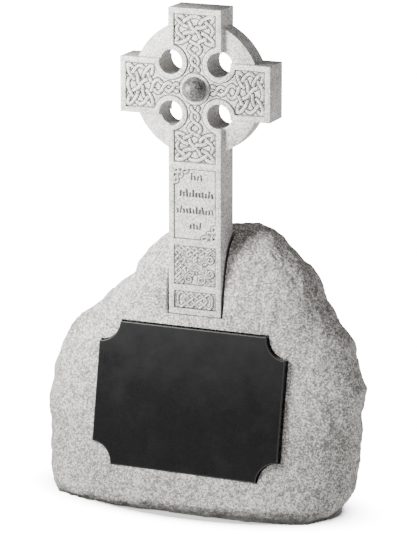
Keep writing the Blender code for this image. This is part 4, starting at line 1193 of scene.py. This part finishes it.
def polished(name, colours, grain, contrast, roughness, painted_light=None):
    """Polished granite with small flecks that lie under an even gloss."""
    web = Web(name)
    coarse = web.part(web.grains(1 / grain))
    fine = web.part(web.grains(2.3 / grain), 1)
    cloud = web.noise(60.0, 3.0)
    slow = web.noise(6.0, 3.0)
    tone = 0.5 + (coarse - 0.5) * contrast + (fine - 0.5) * (0.7 * contrast) \
        + (cloud - 0.5) * (0.5 * contrast) + (slow - 0.5) * contrast
    stone = web.blend(tone.ramp(0.0, 1.0), colours[0], colours[1])
    # Painted light: blends the stone towards the lighter third tone.
    if painted_light:
        stone = web.blend(painted_light(web).ramp(0.0, 1.0), stone, colours[2])
    rough = roughness + (slow - 0.5) * (0.3 * roughness)
    return web.finish(stone, rough, [(cloud, 0.0002, 0.03)])


# Settings that a user would change

def length(name, about, default):
    return bpy.props.FloatProperty(name=name, description=about, default=default, unit="LENGTH")


def stone_tone(about, default):
    return bpy.props.FloatVectorProperty(name="Stone", description=about, default=default, size=3,
                                         subtype="COLOR")


class CrossSizes(bpy.types.PropertyGroup):
    arris: length("Arris", "How far the cross's edges are rounded", 0.0007)
    pitch: length("Carving step", "Distance between points of the carving", 0.0006)
    colour: stone_tone("Main tone of the cross's granite", (0.60, 0.585, 0.56))


class BossSizes(bpy.types.PropertyGroup):
    radius: length("Radius", "Radius of the boss", (BOSS_HIGH.x - BOSS_LOW.x) / 2)
    rise: length("Rise", "How far the boss stands out of the cross", -THICK / 2 - BOSS_LOW.y)
    colour: stone_tone("Main tone of the boss's granite", (0.20, 0.195, 0.19))


class PlaqueSizes(bpy.types.PropertyGroup):
    width: length("Width", "Width of the plaque", PLAQUE_HIGH.x - PLAQUE_LOW.x)
    height: length("Height", "Length of the plaque up its slope", 0.352)
    thick: length("Thickness", "Thickness of the plaque", 0.024)
    scoop: length("Scoop", "Radius of the hollow corners", 0.052)
    chamfer: length("Chamfer", "Rounding of the plaque's front edge", 0.0026)
    centre_z: length("Height of centre", "Height of the face's middle", 0.271)
    face_y: length("Face", "Middle of the face, from the cross's front", -0.048)
    lean: bpy.props.FloatProperty(name="Lean", description="How far the face leans back",
                                  default=math.radians(11.2), subtype="ANGLE")
    colour: stone_tone("Main tone of the plaque", (0.018, 0.018, 0.018))


class BoulderSizes(bpy.types.PropertyGroup):
    levels: bpy.props.IntProperty(name="Levels", description="Rows of points up the boulder", default=180)
    around: bpy.props.IntProperty(name="Around", description="Points round the boulder", default=500)
    slot_left: length("Left gap", "Slot's gap left of the shaft", 0.0025)
    slot_right: length("Right gap", "Slot's gap right of the shaft", 0.0055)
    colour: stone_tone("Main tone of the boulder's granite", (0.47, 0.452, 0.425))


class StageSizes(bpy.types.PropertyGroup):
    floor: length("Floor", "Width of the floor", 1.8)
    key: bpy.props.FloatProperty(name="Key light", description="Power of the soft main light",
                                 default=89.0, unit="POWER")
    key_turn: bpy.props.FloatProperty(name="Key direction", default=math.radians(-44), subtype="ANGLE",
                                      description="Way round to the main light from the front")
    lens: bpy.props.FloatProperty(name="Lens", description="Focal length of the camera in millimetres",
                                  default=199.32)


class HeadstoneSettings(bpy.types.PropertyGroup):
    cross: bpy.props.PointerProperty(type=CrossSizes)
    boss: bpy.props.PointerProperty(type=BossSizes)
    plaque: bpy.props.PointerProperty(type=PlaqueSizes)
    boulder: bpy.props.PointerProperty(type=BoulderSizes)
    stage: bpy.props.PointerProperty(type=StageSizes)


# Steps

class HEADSTONE_OT_camera(bpy.types.Operator):
    """Places the camera at the photograph's viewing angle"""
    bl_idname = "headstone.camera"
    bl_label = "Camera"

    def execute(self, context):
        data = bpy.data.cameras.new("view")
        data.lens = context.scene.headstone.stage.lens
        data.sensor_width = 36.0
        data.clip_end = 200.0
        camera = bpy.data.objects.new("view", data)
        camera.location = CAMERA_PLACE
        camera.rotation_euler = CAMERA_TURN
        context.scene.collection.objects.link(camera)
        context.scene.camera = camera
        return {"FINISHED"}


class HEADSTONE_OT_cross(bpy.types.Operator):
    """Builds the cross and its carved panels"""
    bl_idname = "headstone.cross"
    bl_label = "Cross"

    def execute(self, context):
        sizes = context.scene.headstone.cross
        # The fourth tone is the colour of the painted shade in the holes, the joint and the carving's cuts.
        colours = tones(sizes.colour, 0.52, 1.64, 0.28, 0.24)
        # The cross's body gets painted shade in its holes and where it goes into the slot.
        stone = granite("cross_granite", colours, 0.0026, 0.0055, 0.72, 0.0003, painted_shade=painted_shade_on_cross)
        # The carved slabs get painted shade in their deep cuts.
        carved = granite("carved_granite", colours, 0.0026, 0.0055, 0.72, 0.0003, painted_shade=painted_shade_in_cuts)
        body = cross_body_piece("cross_body", sizes.arris)
        body.data.materials.append(stone)
        hand_over(body, "cross_granite", "celtic_cross")
        pitch = sizes.pitch / MM
        arms, shares = arm_relief(pitch)
        slabs = [(arm + "_arm_knot", arms, share) for arm, share in shares.items()]
        for name, make in (("text_panel", text_relief), ("square_panel", square_relief),
                           ("chain_panel", chain_relief)):
            relief = make(pitch)
            slabs.append((name, relief, np.ones((len(relief.v) - 1, len(relief.u) - 1), bool)))
        for name, relief, keep in slabs:
            piece = link(name, relief.mesh(name, keep), carved)
            smooth_shade(piece.data, 60)
            hand_over(piece, "cross_granite")
        return {"FINISHED"}


class HEADSTONE_OT_boss(bpy.types.Operator):
    """Builds the polished half ball at the middle of the cross"""
    bl_idname = "headstone.boss"
    bl_label = "Boss"

    def execute(self, context):
        sizes = context.scene.headstone.boss
        stone = polished("boss_granite", tones(sizes.colour, 0.10, 1.05), 0.0028, 1.1, 0.42)
        piece = link("polished_boss", boss_mesh("polished_boss", sizes), stone)
        smooth_shade(piece.data, 50)
        hand_over(piece, "boss_granite", "centre_boss")
        return {"FINISHED"}


class HEADSTONE_OT_plaque(bpy.types.Operator):
    """Builds the dark plaque with hollow corners"""
    bl_idname = "headstone.plaque"
    bl_label = "Plaque"

    def execute(self, context):
        sizes = context.scene.headstone.plaque
        c = sizes.chamfer
        rounding = [(c * (1 - math.cos(a)), -c * (1 - math.sin(a))) for a in
                    (math.radians(30), math.radians(60))]
        layers = [(0.0, -sizes.thick), (0.0, -c), *rounding, (c, 0.0)]
        # The third tone is the colour of the painted light on the plaque's upper face.
        stone = polished("plaque_granite", tones(sizes.colour, 0.28, 1.0, 1.9), 0.0013, 0.5, 0.08,
                         painted_light_above)
        honed = polished("plaque_edge", tones(sizes.colour, 1.0, 2.0), 0.0013, 0.8, 0.5)
        piece = link("dark_plaque", plaque_mesh("dark_plaque", sizes, layers), stone)
        piece.data.materials.append(honed)
        around = (len(piece.data.polygons) - 2) // (len(layers) - 1)
        for face in piece.data.polygons:
            face.material_index = int(face.index >= 2 + around)
        hand_over(piece, "plaque_granite", "inscription_plaque")
        return {"FINISHED"}


class HEADSTONE_OT_boulder(bpy.types.Operator):
    """Builds the rock-faced boulder with its slot and the plaque's seat"""
    bl_idname = "headstone.boulder"
    bl_label = "Boulder"

    def execute(self, context):
        sizes = context.scene.headstone.boulder
        plaque = context.scene.headstone.plaque
        piece = link("rock_boulder", boulder_mesh("rock_boulder", sizes.levels, sizes.around))
        cut_away(piece, slot_cutter(sizes.slot_left, sizes.slot_right))
        seat = plaque_mesh("seat_cutter", plaque, [(-SEAT_GAP, -plaque.thick - CLEARANCE),
                                                   (-SEAT_GAP, SEAT_FRONT)])
        seat.transform(Matrix.Translation(SEAT_SHIFT))
        cut_away(piece, link("seat_cutter", seat))
        # The fourth tone is the colour of the boulder's painted shade.
        colours = tones(sizes.colour, 0.50, 1.98, 0.28, 0.18)
        stone = granite("boulder_granite", colours, 0.0034, 0.0058, 0.85, 0.0007, 1.42, 1.35, painted_shade_on_boulder)
        piece.data.materials.append(stone)
        smooth_shade(piece.data, 42)
        hand_over(piece, "boulder_granite", "boulder_base")
        return {"FINISHED"}


class HEADSTONE_OT_stage(bpy.types.Operator):
    """Builds the floor, the soft lights and the pale surroundings"""
    bl_idname = "headstone.stage"
    bl_label = "Floor and lights"

    def execute(self, context):
        sizes = context.scene.headstone.stage
        points = [(x * sizes.floor / 2, y * sizes.floor / 2, 0) for x, y in
                  ((-1, -1), (1, -1), (1, 1), (-1, 1))]
        web = Web("pale_floor")
        across, along = web.part(web.place, 0), web.part(web.place, 1)
        reach = ((across / FLOOR_SPREAD[0]) ** 2 + ((along - 0.01) / FLOOR_SPREAD[1]) ** 2) ** 0.5
        cover = 1 - reach.ramp(*FLOOR_FADE)
        floor = link("floor", mesh_from("floor", points, [[0, 1, 2, 3]]),
                     web.finish(grey(0.9), 0.9, [], {"Alpha": cover * cover}))
        light = bpy.data.lights.new("key", "AREA")
        light.shape = "RECTANGLE"
        light.size = light.size_y = KEY_SIZE
        light.energy = sizes.key
        key = bpy.data.objects.new("key", light)
        key.location = Vector((math.sin(sizes.key_turn), -math.cos(sizes.key_turn), 0.0)) * KEY_DISTANCE
        key.location.z = KEY_HEIGHT
        key.rotation_euler = (KEY_AIM - key.location).to_track_quat("-Z", "Y").to_euler()
        key.visible_camera = False
        context.scene.collection.objects.link(key)
        world = bpy.data.worlds.new("surroundings")
        world.use_nodes = True
        web = Web(world.node_tree)
        way = web.node("ShaderNodeTexCoord")
        glow = 0.18 + (1 - web.part(way, 2).ramp(-0.30, -0.06)) * 1.08 \
            + web.part(way, 0).ramp(0.0, 0.9) * 0.20
        around = web.node("ShaderNodeBackground", None, {"Color": grey(1.0), "Strength": glow})
        seen = web.node("ShaderNodeBackground", None, {"Color": grey(1.0), "Strength": 18.0})
        mixed = web.node("ShaderNodeMixShader", None,
                         {0: web.node("ShaderNodeLightPath"), 1: around, 2: seen})
        web.node("ShaderNodeOutputWorld", None, {"Surface": mixed})
        context.scene.world = world
        return {"FINISHED"}


STEPS = (HEADSTONE_OT_camera, HEADSTONE_OT_boulder, HEADSTONE_OT_plaque, HEADSTONE_OT_cross,
         HEADSTONE_OT_boss, HEADSTONE_OT_stage)


class HEADSTONE_PT_panel(bpy.types.Panel):
    """Lists the headstone's steps and sizes"""
    bl_idname = "HEADSTONE_PT_panel"
    bl_label = "Headstone"
    bl_space_type = "VIEW_3D"
    bl_region_type = "UI"
    bl_category = "Headstone"

    def draw(self, context):
        for step in STEPS:
            self.layout.operator(step.bl_idname)
        settings = context.scene.headstone
        for part in ("cross", "boss", "plaque", "boulder", "stage"):
            box = self.layout.box()
            box.label(text=part.capitalize())
            group = getattr(settings, part)
            for name in group.__annotations__:
                box.prop(group, name)


CLASSES = (CrossSizes, BossSizes, PlaqueSizes, BoulderSizes, StageSizes, HeadstoneSettings, *STEPS,
           HEADSTONE_PT_panel)


def register():
    for item in CLASSES:
        bpy.utils.register_class(item)
    bpy.types.Scene.headstone = bpy.props.PointerProperty(type=HeadstoneSettings)


def unregister():
    del bpy.types.Scene.headstone
    for item in reversed(CLASSES):
        bpy.utils.unregister_class(item)


def main():
    register()
    bpy.ops.headstone.camera()
    bpy.ops.headstone.boulder()
    bpy.ops.headstone.plaque()
    bpy.ops.headstone.cross()
    bpy.ops.headstone.boss()
    bpy.ops.headstone.stage()


if __name__ == "__main__":
    main()
